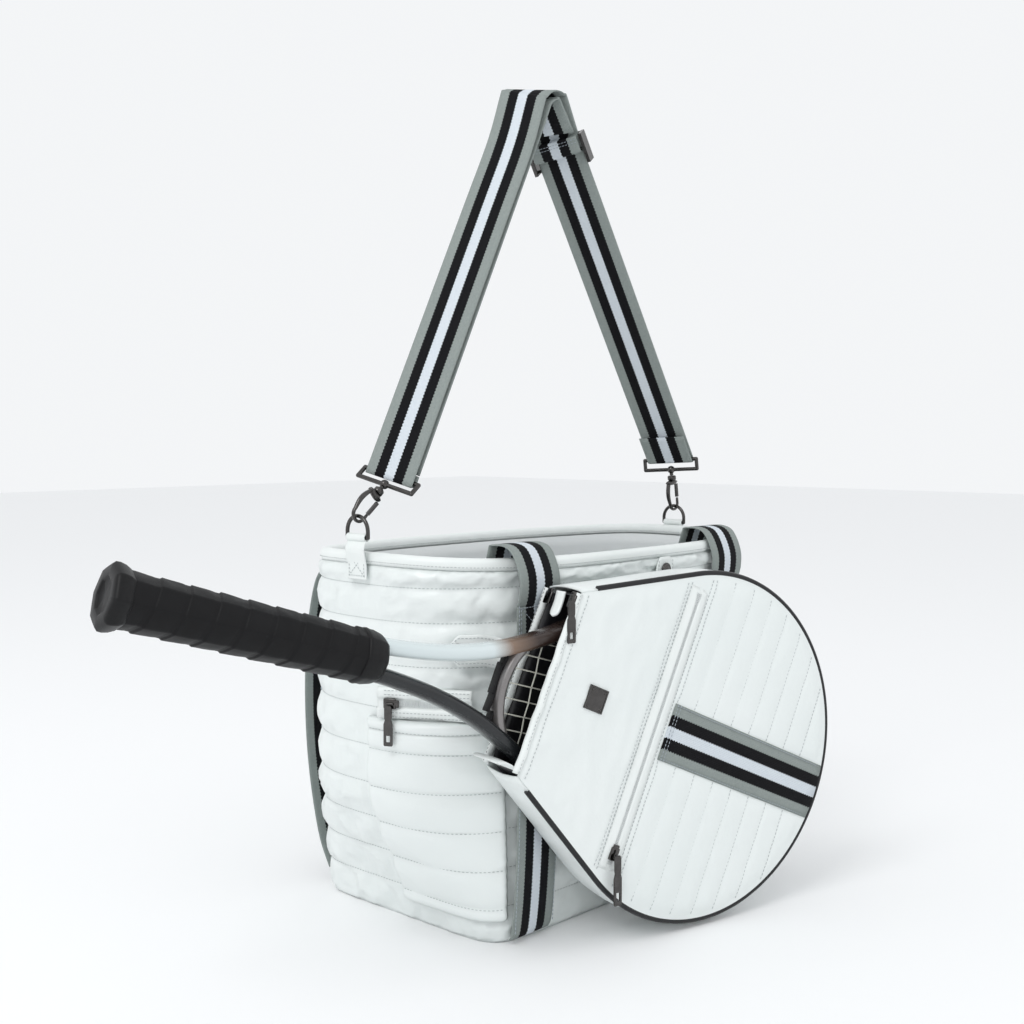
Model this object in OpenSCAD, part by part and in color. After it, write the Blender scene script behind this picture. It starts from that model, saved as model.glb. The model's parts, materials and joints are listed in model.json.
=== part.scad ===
/* [Tote] */
// Length of the tote's base, end to end
tote_length = 354; // [300:1:420]
// Depth of the tote's base, front to back
tote_depth = 232; // [200:1:280]
// Height of the tote's rim at its middle
tote_height = 325; // [280:1:380]
// How far the end seams push out past the base
end_bulge = 45; // [30:1:55]
// How far the front and back puff out past the base
front_bulge = 12; // [8:1:16]
// Thickness of the padded walls
wall = 8; // [5:0.5:11]
// How far the foot of the walls draws in
foot_inset = 2; // [1:0.5:5]
// Height of the folded binding round the rim
binding_height = 10; // [8:1:14]

/* [Webbing] */
// Width of the striped webbing
web_width = 50; // [38:1:56]
// Thickness of the webbing
web_thick = 1.6; // [1.2:0.1:2]
// Distance of each handle leg from the tote's middle
leg_offset = 138; // [120:1:145]
// How far each handle leg stands off the wall above its stitched box
leg_puff = 4; // [2:0.5:5]
// How far the handle hangs into the tote
handle_drop = 190; // [150:1:220]
// How far the back straps stand off the wall
back_strap_puff = 30; // [22:1:40]

/* [Shoulder strap] */
// Height of the strap's top above the floor
strap_top = 761; // [650:1:860]
// Sideways place of the strap's top
strap_top_x = -4; // [-20:1:40]
// Lean of the left hook from upright
hook_lean_left = 50; // [30:1:55]
// Lean of the right hook from upright
hook_lean_right = -8; // [-20:1:0]
// Turn of the strap's flat side towards the front
strap_twist = 20; // [0:1:30]
// Diameter of the D-ring's wire
ring_wire = 3.5; // [3:0.1:4]
// Outer width of a D-ring
ring_width = 30; // [26:1:34]
// Height of a D-ring
ring_height = 20; // [18:1:24]
// How much lower the right D-ring is sewn than the left one
ring_drop = 10; // [0:1:14]
// Diameter of the hook's wire
hook_wire = 3.4; // [3:0.1:4]

/* [Racket cover] */
// Radius of the cover's round end
cover_radius = 150; // [146:1:175]
// Distance from the round end's centre to the mouth
mouth_distance = 180; // [165:1:200]
// Half width of the mouth
mouth_half = 77; // [72:1:90]
// Thickness of the cover, front to back
cover_thick = 46; // [40:1:52]
// Thickness of the cover's fabric walls
cover_wall = 2.5; // [2:0.1:3.5]
// Downward tilt of the cover's axis towards its round end
cover_tilt = 24; // [15:1:30]
// Turn of the cover away from the tote's front
cover_yaw = 13; // [11:1:20]
// Height of the round end's centre above the floor
cover_height = 158; // [156:1:190]
// Distance of the cover's front from the foot of the tote's front
cover_stand = 93; // [90:1:110]
// Distance from the mouth to the front pocket's zip
pocket_zip_distance = 118; // [100:1:130]

/* [Racket] */
// Length of the racket, butt to tip
racket_length = 685; // [640:1:700]
// Half width of the racket's head
head_half = 124; // [110:1:128]
// Distance from the butt to the widest part of the head
head_centre = 510; // [470:1:520]
// Thickness of the racket's frame
frame_thick = 23; // [19:1:26]
// Diameter of the racket's grip
grip_diameter = 39; // [32:1:42]
// Length of the grip up to its collar
grip_length = 212; // [180:1:225]
// Distance from the butt to the mouth of the cover, along the cover
butt_reach = 356; // [345:1:380]
// Tilt of the racket from the cover's axis
racket_turn = 7; // [4:1:8]

/* [Small parts] */
// Radius of a snap button
snap_radius = 6.5; // [5:0.5:8]
// Width of a zip's tape
tape_width = 26; // [20:1:30]
// Gap left between pieces that move past each other
running_gap = 0.4; // [0.3:0.1:0.6]

/* [Hidden] */
white = [0.92, 0.95, 0.94];
gunmetal = [0.33, 0.31, 0.30];
black = [0.10, 0.10, 0.11];
grey_web = [0.55, 0.59, 0.57];
around = 40;
levels = 8;

// ---- shared shapes ----

function unit(v) = v / norm(v);
function ease(t) = t <= 0 ? 0 : t >= 1 ? 1 : t * t * (3 - 2 * t);

// Closed solid through a list of sections that all have the same even number of points.
// Point j of a section faces point m - 1 - j, which is how the two ends are closed.
module loft(secs, ring = false) {
    n = len(secs);
    m = len(secs[0]);
    half = m / 2;
    last = n - 1;
    strips = ring ? n : n - 1;
    sides = [for (i = [0:strips - 1], j = [0:m - 1])
        let (a = i * m + j, b = i * m + (j + 1) % m,
             c = ((i + 1) % n) * m + (j + 1) % m, d = ((i + 1) % n) * m + j)
        each [[a, b, c], [a, c, d]]];
    ends = ring ? [] : [for (j = [0:half - 2])
        let (k = m - 1 - j, a = j, b = j + 1, c = k - 1, d = k,
             e = last * m)
        each [[a, c, b], [a, d, c], [e + a, e + b, e + c], [e + a, e + c, e + d]]];
    polyhedron([for (s = secs) each s], concat(sides, ends));
}

// Direction of travel at point i of a path
function heading(path, i) = unit(path[min(i + 1, len(path) - 1)] - path[max(i - 1, 0)]);

// Flat webbing along a path, with a side direction for each point
module webbing(path, sides, width = web_width, thick = web_thick) {
    loft([for (i = [0:len(path) - 1])
        let (s = unit(sides[i]), n = unit(cross(heading(path, i), s)), w = s * width / 2, h = n * thick / 2)
        [path[i] + w + h, path[i] + w - h, path[i] - w - h, path[i] - w + h]]);
}

// Tube of oval section along a path that lies in the XZ plane
module oval_tube(path, wide, thick, sides = 12) {
    loft([for (i = [0:len(path) - 1])
        let (t = heading(path, i), n = cross(t, [0, 1, 0]))
        [for (j = [0:sides - 1]) let (a = (j + 0.5) * 360 / sides)
            path[i] + n * (wide / 2 * cos(a)) + [0, 1, 0] * (thick / 2 * sin(a))]]);
}

// ---- tote ----

half_l = tote_length / 2;
half_d = tote_depth / 2;
rim_lift = 4;
function puff(z) = ease(z / (tote_height * 0.45));
function foot(z) = foot_inset * (1 - ease(z / 14));
function reach_x(z) = half_l - foot(z) + end_bulge * puff(z);
function reach_y(z) = half_d - foot(z) + front_bulge * puff(z) * (1 - 0.12 * ease(z / tote_height));
// Squareness of the outline: the corners are sharp at the base and round higher up
function corner(z) = 0.2 + 0.48 * puff(z);
function spow(v, e) = sign(v) * pow(abs(v), e);
// Point on the tote's outside at angle a and height z, set in from the surface by d
function tote_at(a, z, d = 0) = [
    (reach_x(z) - d) * spow(cos(a), corner(z)),
    (reach_y(z) - d) * spow(sin(a), corner(z)), z];
function rim_z(a) = tote_height + rim_lift * pow(abs(cos(a)), 4);
function wall_top(a) = rim_z(a) - binding_height;
// Outside of the wall at a given x, on the front (-1) or back (1)
function face_y(x, z, side) = side * reach_y(z)
    * pow(1 - pow(min(1, abs(x) / reach_x(z)), 2 / corner(z)), corner(z) / 2);

module tote_wall(from_a, to_a) {
    loft([for (i = [0:around])
        let (a = from_a + (to_a - from_a) * i / around)
        concat([for (k = [0:levels]) tote_at(a, wall_top(a) * k / levels)],
               [for (k = [levels:-1:0]) tote_at(a, wall_top(a) * k / levels, wall)])]);
}

module tote_front_panel() { color(white) tote_wall(180, 360); }
module tote_back_panel() { color(white) tote_wall(0, 180); }

base_thick = 5;
board_thick = 4;
lining_thick = 1.2;
module base_slab(z, thick, inset) {
    translate([0, 0, z]) linear_extrude(thick)
        polygon([for (i = [0:2 * around - 1])
            let (p = tote_at(i * 180 / around, 0, inset)) [p[0], p[1]]]);
}
module tote_base_panel() { color(white) base_slab(0, base_thick, wall + 0.3); }
module base_board() { color([0.3, 0.3, 0.3]) base_slab(base_thick + 0.2, board_thick, wall + 6); }

lining_floor = base_thick + board_thick + 0.5;
lining_gap = 1.2;
// Point k of the lining's side, on the same levels as the wall so that the two stay parallel
function lining_at(a, k, d) = k > 0 ? tote_at(a, wall_top(a) * k / levels, d)
    : let (low = tote_at(a, 0, d), next = tote_at(a, wall_top(a) / levels, d))
        low + (next - low) * (lining_floor + lining_thick) / next[2];
module tote_lining() {
    inset = wall + lining_gap;
    color(white) {
        loft([for (i = [0:2 * around - 1]) let (a = i * 180 / around)
            concat([for (k = [0:levels]) lining_at(a, k, inset)],
                   [for (k = [levels:-1:0]) lining_at(a, k, inset + lining_thick)])], ring = true);
        base_slab(lining_floor, lining_thick, wall + 2);
    }
}

module rim_binding() {
    color(white) loft([for (i = [0:2 * around - 1])
        let (a = i * 180 / around, z = wall_top(a) + 0.1, h = binding_height)
        [tote_at(a, z, -0.5), tote_at(a, z + h, 0.5),
         tote_at(a, z + h, wall - 0.5), tote_at(a, z, wall + 0.5)]], ring = true);
}

// ---- end pocket: a second skin low on the left end's front half, closed by a zip ----

pocket_top = 190;
pocket_low = 22;
pocket_from = 183;
pocket_to = 222;
pocket_thick = 4.5;
module end_pocket_panel() {
    steps = 16;
    function height(k) = pocket_low + (pocket_top - pocket_low) * k / levels;
    color(white) loft([for (i = [0:steps])
        let (a = pocket_from + (pocket_to - pocket_from) * i / steps)
        concat([for (k = [0:levels]) tote_at(a, height(k), -pocket_thick)],
               [for (k = [levels:-1:0]) tote_at(a, height(k), -0.9)])]);
}
// The zip runs level and straight, from the front corner (local x = 0) back to the end seam,
// and stands just clear of the wall behind it; local +Y points outwards
zip_z = pocket_top + 15;
zip_front = tote_at(pocket_to, zip_z);
zip_back = tote_at(pocket_from + 2, zip_z);
zip_run = norm(zip_back - zip_front);
zip_dir = (zip_back - zip_front) / zip_run;
zip_out = [-zip_dir[1], zip_dir[0], 0];
zip_stand = 0.5 + max([for (a = [pocket_from:1:pocket_to], z = [-13, 13])
    (tote_at(a, zip_z + z) - zip_front) * zip_out]);
module at_end_zip() {
    translate(zip_front + zip_out * zip_stand) rotate([0, 0, atan2(zip_dir[1], zip_dir[0])]) children();
}
end_slider_x = zip_run - 12;
module end_pocket_zip() {
    color(white) at_end_zip() {
        translate([0, 0, -tape_width / 2]) cube([zip_run, 1.2, tape_width]);
        translate([2, 1.2, -3]) cube([zip_run - 4, 1.4, 6]);
    }
}
module slider_body(length = 11, width = 9) {
    // two plates, joined at their middle, either side of the teeth
    translate([-length / 2, 2.6 + running_gap, -width / 2]) cube([length, 1.4, width]);
    translate([-3, 4 + running_gap, -1.4]) cube([6, 2.2, 2.8]);
}
module end_zip_slider() { color(gunmetal) at_end_zip() translate([end_slider_x, 0, 0]) slider_body(); }
pull_length = 34;
pull_thick = 1.6;
module zip_pull_shape(length = pull_length) {
    difference() {
        translate([-4, 0, -length]) cube([8, pull_thick, length]);
        translate([-2, -1, -length + 3]) cube([4, pull_thick + 2, 6]);
    }
}
module end_zip_pull() {
    color(gunmetal) at_end_zip() translate([end_slider_x, 6.2 + 2 * running_gap, -1]) zip_pull_shape();
}

// ---- handle webbing on the front, back straps ----

stitch_top = 287;
web_gap = 1.5;
web_heights = [4, 12, 40, 80, 120, 160, 200, 240, 265, stitch_top];
// Distance from the middle plane at which webbing centred on x clears the wall, at height z
function web_y(x, z) = web_gap + max(face_y(abs(x) - web_width / 2, z, 1), face_y(x, z, 1));
module front_web(x) {
    webbing([for (z = web_heights) [x, -web_y(x, z), z]], [for (z = web_heights) [1, 0, 0]]);
}
module front_web_left() { color(grey_web) front_web(-leg_offset); }
module front_web_right() { color(grey_web) front_web(leg_offset); }

crest_z = tote_height + 12;
front_y = -web_y(leg_offset, stitch_top);
hang_y = front_y + 28;
module handle_riser(x) {
    path = [[x, front_y, stitch_top + 0.5], [x, front_y - leg_puff / 2, stitch_top + 10],
        [x, front_y - leg_puff, stitch_top + 24], [x, front_y - leg_puff / 2, tote_height],
        [x, front_y + 5, crest_z - 3], [x, front_y + 15, crest_z], [x, hang_y - 1, crest_z - 0.5]];
    webbing(path, [for (p = path) [1, 0, 0]]);
}
module handle_riser_left() { color(grey_web) handle_riser(-leg_offset); }
module handle_riser_right() { color(grey_web) handle_riser(leg_offset); }

handle_steps = 24;
// One U of webbing hanging inside: its legs face forward and its middle turns edge up
module front_handle() {
    path = [for (i = [0:handle_steps])
        let (t = i / handle_steps, a = 180 + 180 * t,
             x = (leg_offset - 12 * sin(180 * t)) * cos(a), dip = handle_drop * pow(sin(180 * t), 0.62))
        [x, hang_y + 16 * ease(dip / 60), crest_z - 0.5 - dip]];
    sides = [for (i = [0:handle_steps])
        let (t = i / handle_steps, k = 90 * ease(sin(180 * t) * 1.3 - 0.2))
        [cos(k), (t < 0.5 ? 1 : -1) * sin(k), 0]];
    color(grey_web) webbing(path, sides);
}

module back_strap(x) {
    zs = [14, 40, 80, 120, 160, 200, 235, 265, 290, 306];
    path = [for (i = [0:len(zs) - 1])
        let (t = i / (len(zs) - 1), off = back_strap_puff * pow(sin(180 * t), 0.8))
        [x, web_y(x, zs[i]) + off, zs[i]]];
    webbing(path, [for (z = zs) [1, 0, 0]]);
}
module back_strap_left() { color(grey_web) back_strap(-leg_offset); }
module back_strap_right() { color(grey_web) back_strap(leg_offset); }

// ---- D-rings and the chain that holds the shoulder strap ----

seam_x = reach_x(tote_height);
ring_z = tote_height + 17;
// Height of the wire that a D-ring turns on, at the left (-1) or right (1) end
function ring_at(side) = side < 0 ? ring_z : ring_z - ring_drop;
tab_width = 20;
tab_bar_gap = ring_wire / 2 + running_gap;
module ring_tab(side) {
    translate([side * seam_x, 0, ring_at(side)]) {
        difference() {
            union() {
                rotate([90, 0, 0])
                    cylinder(r = tab_bar_gap + 1.6, h = tab_width, center = true, $fn = 48);
                translate([-1.6, -tab_width / 2, -12]) cube([3.2, tab_width, 10]);
            }
            rotate([90, 0, 0])
                cylinder(r = tab_bar_gap, h = tab_width + 2, center = true, $fn = 48);
        }
        translate([side * 2 - 0.8, -tab_width / 2 - 2, -36]) cube([1.6, tab_width + 4, 26]);
    }
}
module ring_tab_left() { color(white) translate([-4.5, 0, 0]) ring_tab(-1); }
module ring_tab_right() { color(white) translate([4.5, 0, 0]) ring_tab(1); }
ring_x = seam_x + 4.5;

ring_bow = ring_width / 2 - ring_wire / 2;
module d_ring(side) {
    translate([side * ring_x, 0, ring_at(side)]) {
        rotate([90, 0, 0]) cylinder(r = ring_wire / 2, h = 2 * ring_bow, center = true, $fn = 32);
        for (s = [-1, 1]) {
            translate([0, s * ring_bow, 0]) sphere(r = ring_wire / 2, $fn = 32);
            translate([0, s * ring_bow, 0]) cylinder(r = ring_wire / 2, h = ring_height - ring_wire / 2 - ring_bow, $fn = 32);
        }
        translate([0, 0, ring_height - ring_wire / 2 - ring_bow]) rotate([90, 0, 90]) rotate_extrude(angle = 180, $fn = 64)
            translate([ring_bow, 0]) circle(r = ring_wire / 2, $fn = 24);
    }
}
module d_ring_left() { color(gunmetal) d_ring(-1); }
module d_ring_right() { color(gunmetal) d_ring(1); }

// Chain frame: origin where the hook hangs on the ring's wire, +Z towards the strap
function chain_foot(side) = [side * ring_x, 0, ring_at(side) + ring_height - ring_wire / 2];
module at_chain(side) {
    translate(chain_foot(side))
        rotate([0, side < 0 ? hook_lean_left : hook_lean_right, 0]) children();
}
bight = 6.6;
hook_r = hook_wire / 2;
bight_z = bight - hook_r - ring_wire / 2 - 0.5;
leg_top = 25;
gate_low = 9;
gate_high = 22;
module hook(side) {
    at_chain(side) {
        translate([0, 0, bight_z]) rotate([90, 0, 0]) rotate_extrude(angle = -180, $fn = 48)
            translate([bight, 0]) circle(r = hook_r, $fn = 24);
        translate([-bight, 0, bight_z]) cylinder(r = hook_r, h = leg_top - bight_z, $fn = 24);
        translate([bight, 0, bight_z]) cylinder(r = hook_r, h = gate_low - bight_z - 0.4, $fn = 24);
        translate([0, 0, leg_top + 3.4]) cylinder(r = 4.6, h = 5, $fn = 40);
        difference() {
            union() {
                translate([-bight - hook_r, -3, leg_top - 1.5]) cube([2 * (bight + hook_r), 6, 5]);
                translate([bight - 2.2, -3, gate_high]) cube([4.4, 6, leg_top - gate_high]);
            }
            translate([bight - 4, -1.7, gate_high - 1]) cube([8, 3.4, 4.3]);
        }
    }
}
module hook_left() { color(gunmetal) hook(-1); }
module hook_right() { color(gunmetal) hook(1); }
module hook_gate(side) {
    at_chain(side) translate([bight, 0, 0]) {
        translate([-1.5, -1.3, gate_low]) cube([3, 2.6, gate_high + 1.5 - gate_low]);
    }
}
module hook_gate_left() { color(gunmetal) hook_gate(-1); }
module hook_gate_right() { color(gunmetal) hook_gate(1); }

loop_low = 40;
loop_high = 51;
loop_half = web_width / 2 + 4;
loop_r = 2;
module at_loop(side) { at_chain(side) rotate([0, 0, strap_twist]) children(); }
module swivel_loop(side) {
    at_loop(side) {
        for (z = [loop_low, loop_high]) translate([0, 0, z]) rotate([90, 0, 0])
            cylinder(r = loop_r, h = 2 * loop_half, center = true, $fn = 32);
        for (s = [-1, 1], z = [loop_low, loop_high]) translate([0, s * loop_half, z]) sphere(r = loop_r, $fn = 32);
        for (s = [-1, 1]) translate([0, s * loop_half, loop_low]) cylinder(r = loop_r, h = loop_high - loop_low, $fn = 32);
        translate([0, 0, leg_top + 8.4 + running_gap]) cylinder(r = 2, h = loop_low - leg_top - 9, $fn = 32);
        translate([0, 0, loop_low]) sphere(r = 4.2, $fn = 40);
    }
}
module swivel_loop_left() { color(gunmetal) swivel_loop(-1); }
module swivel_loop_right() { color(gunmetal) swivel_loop(1); }

// ---- shoulder strap ----

function turn_y(v, a) = [v[0] * cos(a) + v[2] * sin(a), v[1], -v[0] * sin(a) + v[2] * cos(a)];
function chain_at(side, z) = chain_foot(side)
    + turn_y([0, 0, z], side < 0 ? hook_lean_left : hook_lean_right);
bar_left = chain_at(-1, loop_high);
bar_right = chain_at(1, loop_high);
top_point = [strap_top_x, 0, strap_top];
wrap_r = loop_r + 0.3 + web_thick / 2;
// Directions of the two loops' bars, which the webbing's width follows
function bar_side(side) = turn_y([sin(strap_twist), -cos(strap_twist), 0],
    side < 0 ? hook_lean_left : hook_lean_right);
side_left = bar_side(-1);
side_right = bar_side(1);

// Direction up each leg, and out of the triangle square to the leg's bar
up_left = unit(top_point - bar_left);
up_right = unit(top_point - bar_right);
out_left = unit(cross(side_left, up_left));
out_right = unit(cross(up_right, side_right));
down_left = cross(side_left, out_left);
down_right = cross(out_right, side_right);
top_round = 14;
left_length = norm(top_point - bar_left);
right_length = norm(top_point - bar_right);
function leg_point(bar, up, out, along, off) = bar + up * along + out * off;

// Points round the top from the right leg to the left, at a distance off outside its bend
angle_right = atan2(up_right[2], up_right[0]) - 90;
angle_left = atan2(up_left[2], up_left[0]) + 90;
bend_at = top_point - [0, 0, top_round * 1.6];
function over_top(off) = [for (k = [0:8])
    let (a = angle_right + (angle_left - angle_right) * k / 8)
    bend_at + [cos(a), 0, sin(a)] * (top_round + off)];
function top_sides() = [for (k = [0:8]) side_right + (side_left - side_right) * k / 8];

module strap_long_run() {
    sewn = 30;
    right_wrap = [for (k = [0:6]) let (a = 180 - 30 * k)
        bar_right + wrap_r * (out_right * cos(a) + down_right * sin(a))];
    left_wrap = [for (k = [0:6]) let (a = 30 * k)
        bar_left + wrap_r * (out_left * cos(a) + down_left * sin(a))];
    right_part = concat([for (along = [sewn, 6]) leg_point(bar_right, up_right, out_right, along, -wrap_r)],
        right_wrap,
        [for (k = [1:6]) leg_point(bar_right, up_right, out_right, right_length * k / 7.2, wrap_r)]);
    left_part = concat(
        [for (k = [5:-1:1]) leg_point(bar_left, up_left, out_left, left_length * k / 6, wrap_r)],
        left_wrap,
        [leg_point(bar_left, up_left, out_left, 8, -wrap_r)]);
    color(grey_web) webbing(concat(right_part, over_top(wrap_r), left_part),
        concat([for (p = right_part) side_right], top_sides(), [for (p = left_part) side_left]));
}

slider_back = 70;
slider_at = top_point - up_right * slider_back + out_right * wrap_r;
module strap_doubled_run() {
    leg = [for (k = [0:5]) leg_point(bar_left, up_left, out_left, 9 + (left_length * 0.88 - 9) * k / 5, -wrap_r)];
    path = concat(leg, [for (k = [7:-1:2]) over_top(-wrap_r - 2)[k]],
        [top_point - up_right * (slider_back - 21) - out_right * (wrap_r + 2)]);
    color(grey_web) webbing(path, concat([for (p = leg) side_left],
        [for (k = [7:-1:2]) top_sides()[k]], [side_right]));
}

// Slider frame: +Z up the right leg, +X out of the triangle
module at_slider() {
    y = unit(up_right * (up_right * side_right) - side_right);
    x = cross(y, up_right);
    translate(slider_at) multmatrix([for (i = [0:2]) [x[i], y[i], up_right[i], 0]]) children();
}
slider_half = 13;
slider_wire = 1.6;
slider_gap = 1;
bar_out = web_thick / 2 + slider_gap + slider_wire;
fold_r = slider_wire + 0.3 + web_thick / 2;
bar_in = web_thick + slider_gap + fold_r;
module strap_slider() {
    color(gunmetal) at_slider() {
        for (at = [[bar_out, -slider_half], [bar_out, slider_half], [-bar_in, 0]])
            translate([at[0], 0, at[1]]) rotate([90, 0, 0])
                cylinder(r = slider_wire, h = web_width + 6, center = true, $fn = 24);
        for (s = [-1, 1])
            translate([-bar_in, s * (web_width / 2 + 2 + slider_wire) - slider_wire, -slider_half] - [1, 0, 1] * slider_wire)
                cube([bar_in + bar_out, 0, 2 * slider_half] + [2, 2, 2] * slider_wire);
    }
}
module strap_fold_end() {
    path = concat([[-fold_r, 0, 14]],
        [for (k = [0:6]) let (a = 180 - 180 * k / 6) [fold_r * cos(a), 0, -fold_r * sin(a)]],
        [[fold_r, 0, 14]]);
    color(grey_web) at_slider() translate([-bar_in, 0, 0])
        webbing(path, [for (p = path) [0, 1, 0]]);
}

// ---- racket cover: local +X to its round end, +Z up across it, +Y towards the tote ----

cover_at = [-13, -(half_d + cover_stand), cover_height];
module at_cover() { translate(cover_at) rotate([0, cover_tilt, -cover_yaw]) children(); }

mouth_angle = atan2(mouth_half, -mouth_distance);
side_angle = mouth_angle - acos(cover_radius / norm([mouth_distance, mouth_half]));
// Height of the straight side above the axis at x, set in by d
function side_z(x, d) = (cover_radius - d - x * cos(side_angle)) / sin(side_angle);
function cover_outline(d, mouth_x = -mouth_distance) = concat(
    [[mouth_x, -side_z(mouth_x, d)]],
    [for (k = [0:48]) let (a = side_angle * (k / 24 - 1)) (cover_radius - d) * [cos(a), sin(a)]],
    [[mouth_x, side_z(mouth_x, d)]]);
module slab(from_y, thick) {
    translate([0, from_y + thick, 0]) rotate([90, 0, 0]) linear_extrude(thick) children();
}

module cover_front_panel() { color(white) at_cover() slab(0, cover_wall) polygon(cover_outline(0)); }
module cover_back_panel() {
    color(white) at_cover() slab(cover_thick - cover_wall, cover_wall) polygon(cover_outline(0));
}
module cover_gusset() {
    color(white) at_cover() slab(cover_wall + 0.1, cover_thick - 2 * cover_wall - 0.2) difference() {
        polygon(cover_outline(0));
        polygon(cover_outline(cover_wall, -mouth_distance - 1));
    }
}
pipe_r = 2.5;
pipe_line = cover_radius + pipe_r + 0.1;
pipe_start = -mouth_distance + 14;
// Cord sewn round the front edge, from near the mouth's one corner to near the other
module cover_piping() {
    side_start = [pipe_start, 0, (pipe_line - pipe_start * cos(side_angle)) / sin(side_angle)];
    path = concat([[side_start[0], 0, -side_start[2]]],
        [for (k = [0:36]) let (a = side_angle * (k / 18 - 1)) pipe_line * [cos(a), 0, sin(a)]],
        [side_start]);
    color(black) at_cover() translate([0, pipe_r, 0]) oval_tube(path, 2 * pipe_r, 2 * pipe_r, 8);
}
binding_w = 4;
module mouth_binding(y) {
    h = side_z(-mouth_distance, 0);
    color(white) at_cover() translate([-mouth_distance - binding_w - 0.1, y, -h + 1])
        cube([binding_w, cover_wall + 1.5, 2 * h - 2]);
}
module mouth_binding_front() { mouth_binding(-0.75); }
module mouth_binding_back() { mouth_binding(cover_thick - cover_wall - 0.75); }

pocket_x = pocket_zip_distance - mouth_distance;
pocket_half = sqrt(cover_radius * cover_radius - pocket_x * pocket_x) - 12;
module cover_pocket_zip() {
    color(white) at_cover() {
        translate([pocket_x - tape_width / 2, -1.3, -pocket_half]) cube([tape_width, 1.2, 2 * pocket_half]);
        translate([pocket_x - 3, -2.7, -pocket_half + 6]) cube([6, 1.4, 2 * pocket_half - 12]);
    }
}
cover_slider_z = -pocket_half + 14;
module cover_zip_slider() {
    color(gunmetal) at_cover() translate([pocket_x, 0, cover_slider_z]) {
        translate([-4.5, -4.1 - running_gap, -5.5]) cube([9, 1.4, 11]);
        translate([-1.4, -6.3 - running_gap, -3]) cube([2.8, 2.2, 6]);
    }
}
module cover_zip_pull() {
    color(gunmetal) at_cover() translate([pocket_x, -8 - 2 * running_gap, cover_slider_z])
        rotate([0, -cover_tilt, 0]) zip_pull_shape(pull_length + 8);
}

mouth_slider_z = mouth_half - 9;
mouth_slider_x = -mouth_distance - binding_w - 6;
mouth_sliders_y = [-0.8, cover_thick - 14];
module mouth_zip_sliders() {
    color(gunmetal) at_cover() for (y = mouth_sliders_y)
        translate([mouth_slider_x - 4, y, mouth_slider_z - 6]) cube([8, 9, 12]);
}
module mouth_zip_pull() {
    color(gunmetal) at_cover()
        translate([mouth_slider_x + 1, mouth_sliders_y[0] - running_gap - pull_thick, mouth_slider_z - 1])
        rotate([0, -cover_tilt, 0]) zip_pull_shape();
}
module zip_end_tabs() {
    color(white) at_cover() {
        translate([mouth_slider_x - 1, mouth_sliders_y[0] + 12, mouth_slider_z - 20]) cube([2, 8, 24]);
        translate([-mouth_distance - 14, cover_thick / 2 - 10, -mouth_half + 1]) cube([12, 20, 2]);
    }
}
module cover_web_band() {
    start = pocket_x + tape_width / 2 + 1;
    color(grey_web) at_cover() slab(-web_thick - 0.1, web_thick) intersection() {
        translate([start, -web_width / 2]) square([cover_radius * 2, web_width]);
        polygon(cover_outline(1));
    }
}
badge_size = 20;
badge_x = -mouth_distance + 47;
badge_z = 2;
module badge_plate() {
    color(gunmetal) at_cover() translate([badge_x, -1.7, badge_z])
        translate([-badge_size / 2, 0, -badge_size / 2]) cube([badge_size, 1.6, badge_size]);
}
module badge_rivets() {
    color(gunmetal) at_cover() translate([badge_x, -1.8, badge_z])
        for (sx = [-1, 1], sz = [-1, 1]) translate([sx, 0, sz] * (badge_size / 2 - 3))
            rotate([90, 0, 0]) cylinder(r = 1, h = 0.7, $fn = 24);
}

// ---- snap tabs that hold the cover to the tote ----

tab_wide = 26;
left_snap_z = 252;
function to_row(p) = let (a = turn_y(p, cover_tilt)) cover_at
    + [a[0] * cos(cover_yaw) + a[1] * sin(cover_yaw), -a[0] * sin(cover_yaw) + a[1] * cos(cover_yaw), a[2]];
hinge_at = to_row([-mouth_distance - binding_w - 2, cover_thick + 3, 0]);
module snap_tab_left() {
    path = concat([for (a = [213, 217, 221, 224]) tote_at(a, left_snap_z, -2.5)],
        [[hinge_at[0] - 5, hinge_at[1] + 9, left_snap_z - 3], [hinge_at[0] - 2, hinge_at[1] + 2, left_snap_z - 6]]);
    color(white) webbing(path, [for (p = path) [0, 0, 1]], tab_wide);
}
right_tab_x = 33;
right_snap_z = tote_height - 21;
right_tab_y = -face_y(right_tab_x, tote_height * 0.9, 1) - 5;
tab_root = to_row([3, cover_thick + 5, cover_radius * 0.55]);
module snap_tab_right() {
    path = [[right_tab_x, tab_root[1] + 1, tab_root[2]], [right_tab_x, tab_root[1] + 8, tab_root[2] + 16],
        [right_tab_x, right_tab_y - 6, right_snap_z - 36], [right_tab_x, right_tab_y, right_snap_z - 16],
        [right_tab_x, right_tab_y, right_snap_z + 12]];
    color(white) webbing(path, [for (p = path) [1, 0, 0]], tab_wide);
}
snap_at_left = tote_at(216, left_snap_z, -2.5);
snap_out_left = unit([-1, -0.75, 0]);
module snap_cap(at, out, lift) {
    color(gunmetal) translate(at + out * lift)
        rotate([0, 90, atan2(out[1], out[0])]) cylinder(r = snap_radius, h = 2, $fn = 48);
}
module snap_cap_left() { snap_cap(snap_at_left, snap_out_left, 2.4); }
module snap_cap_right() { snap_cap([right_tab_x, right_tab_y, right_snap_z], [0, -1, 0], 0.9); }
module snap_studs() {
    color(gunmetal) translate([right_tab_x, right_tab_y + web_thick / 2 + 0.5, right_snap_z]) rotate([-90, 0, 0])
        cylinder(r = snap_radius - 2, h = 3, $fn = 40);
}

// ---- racket: local +X from the butt to the tip, +Z across the head ----

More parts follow.
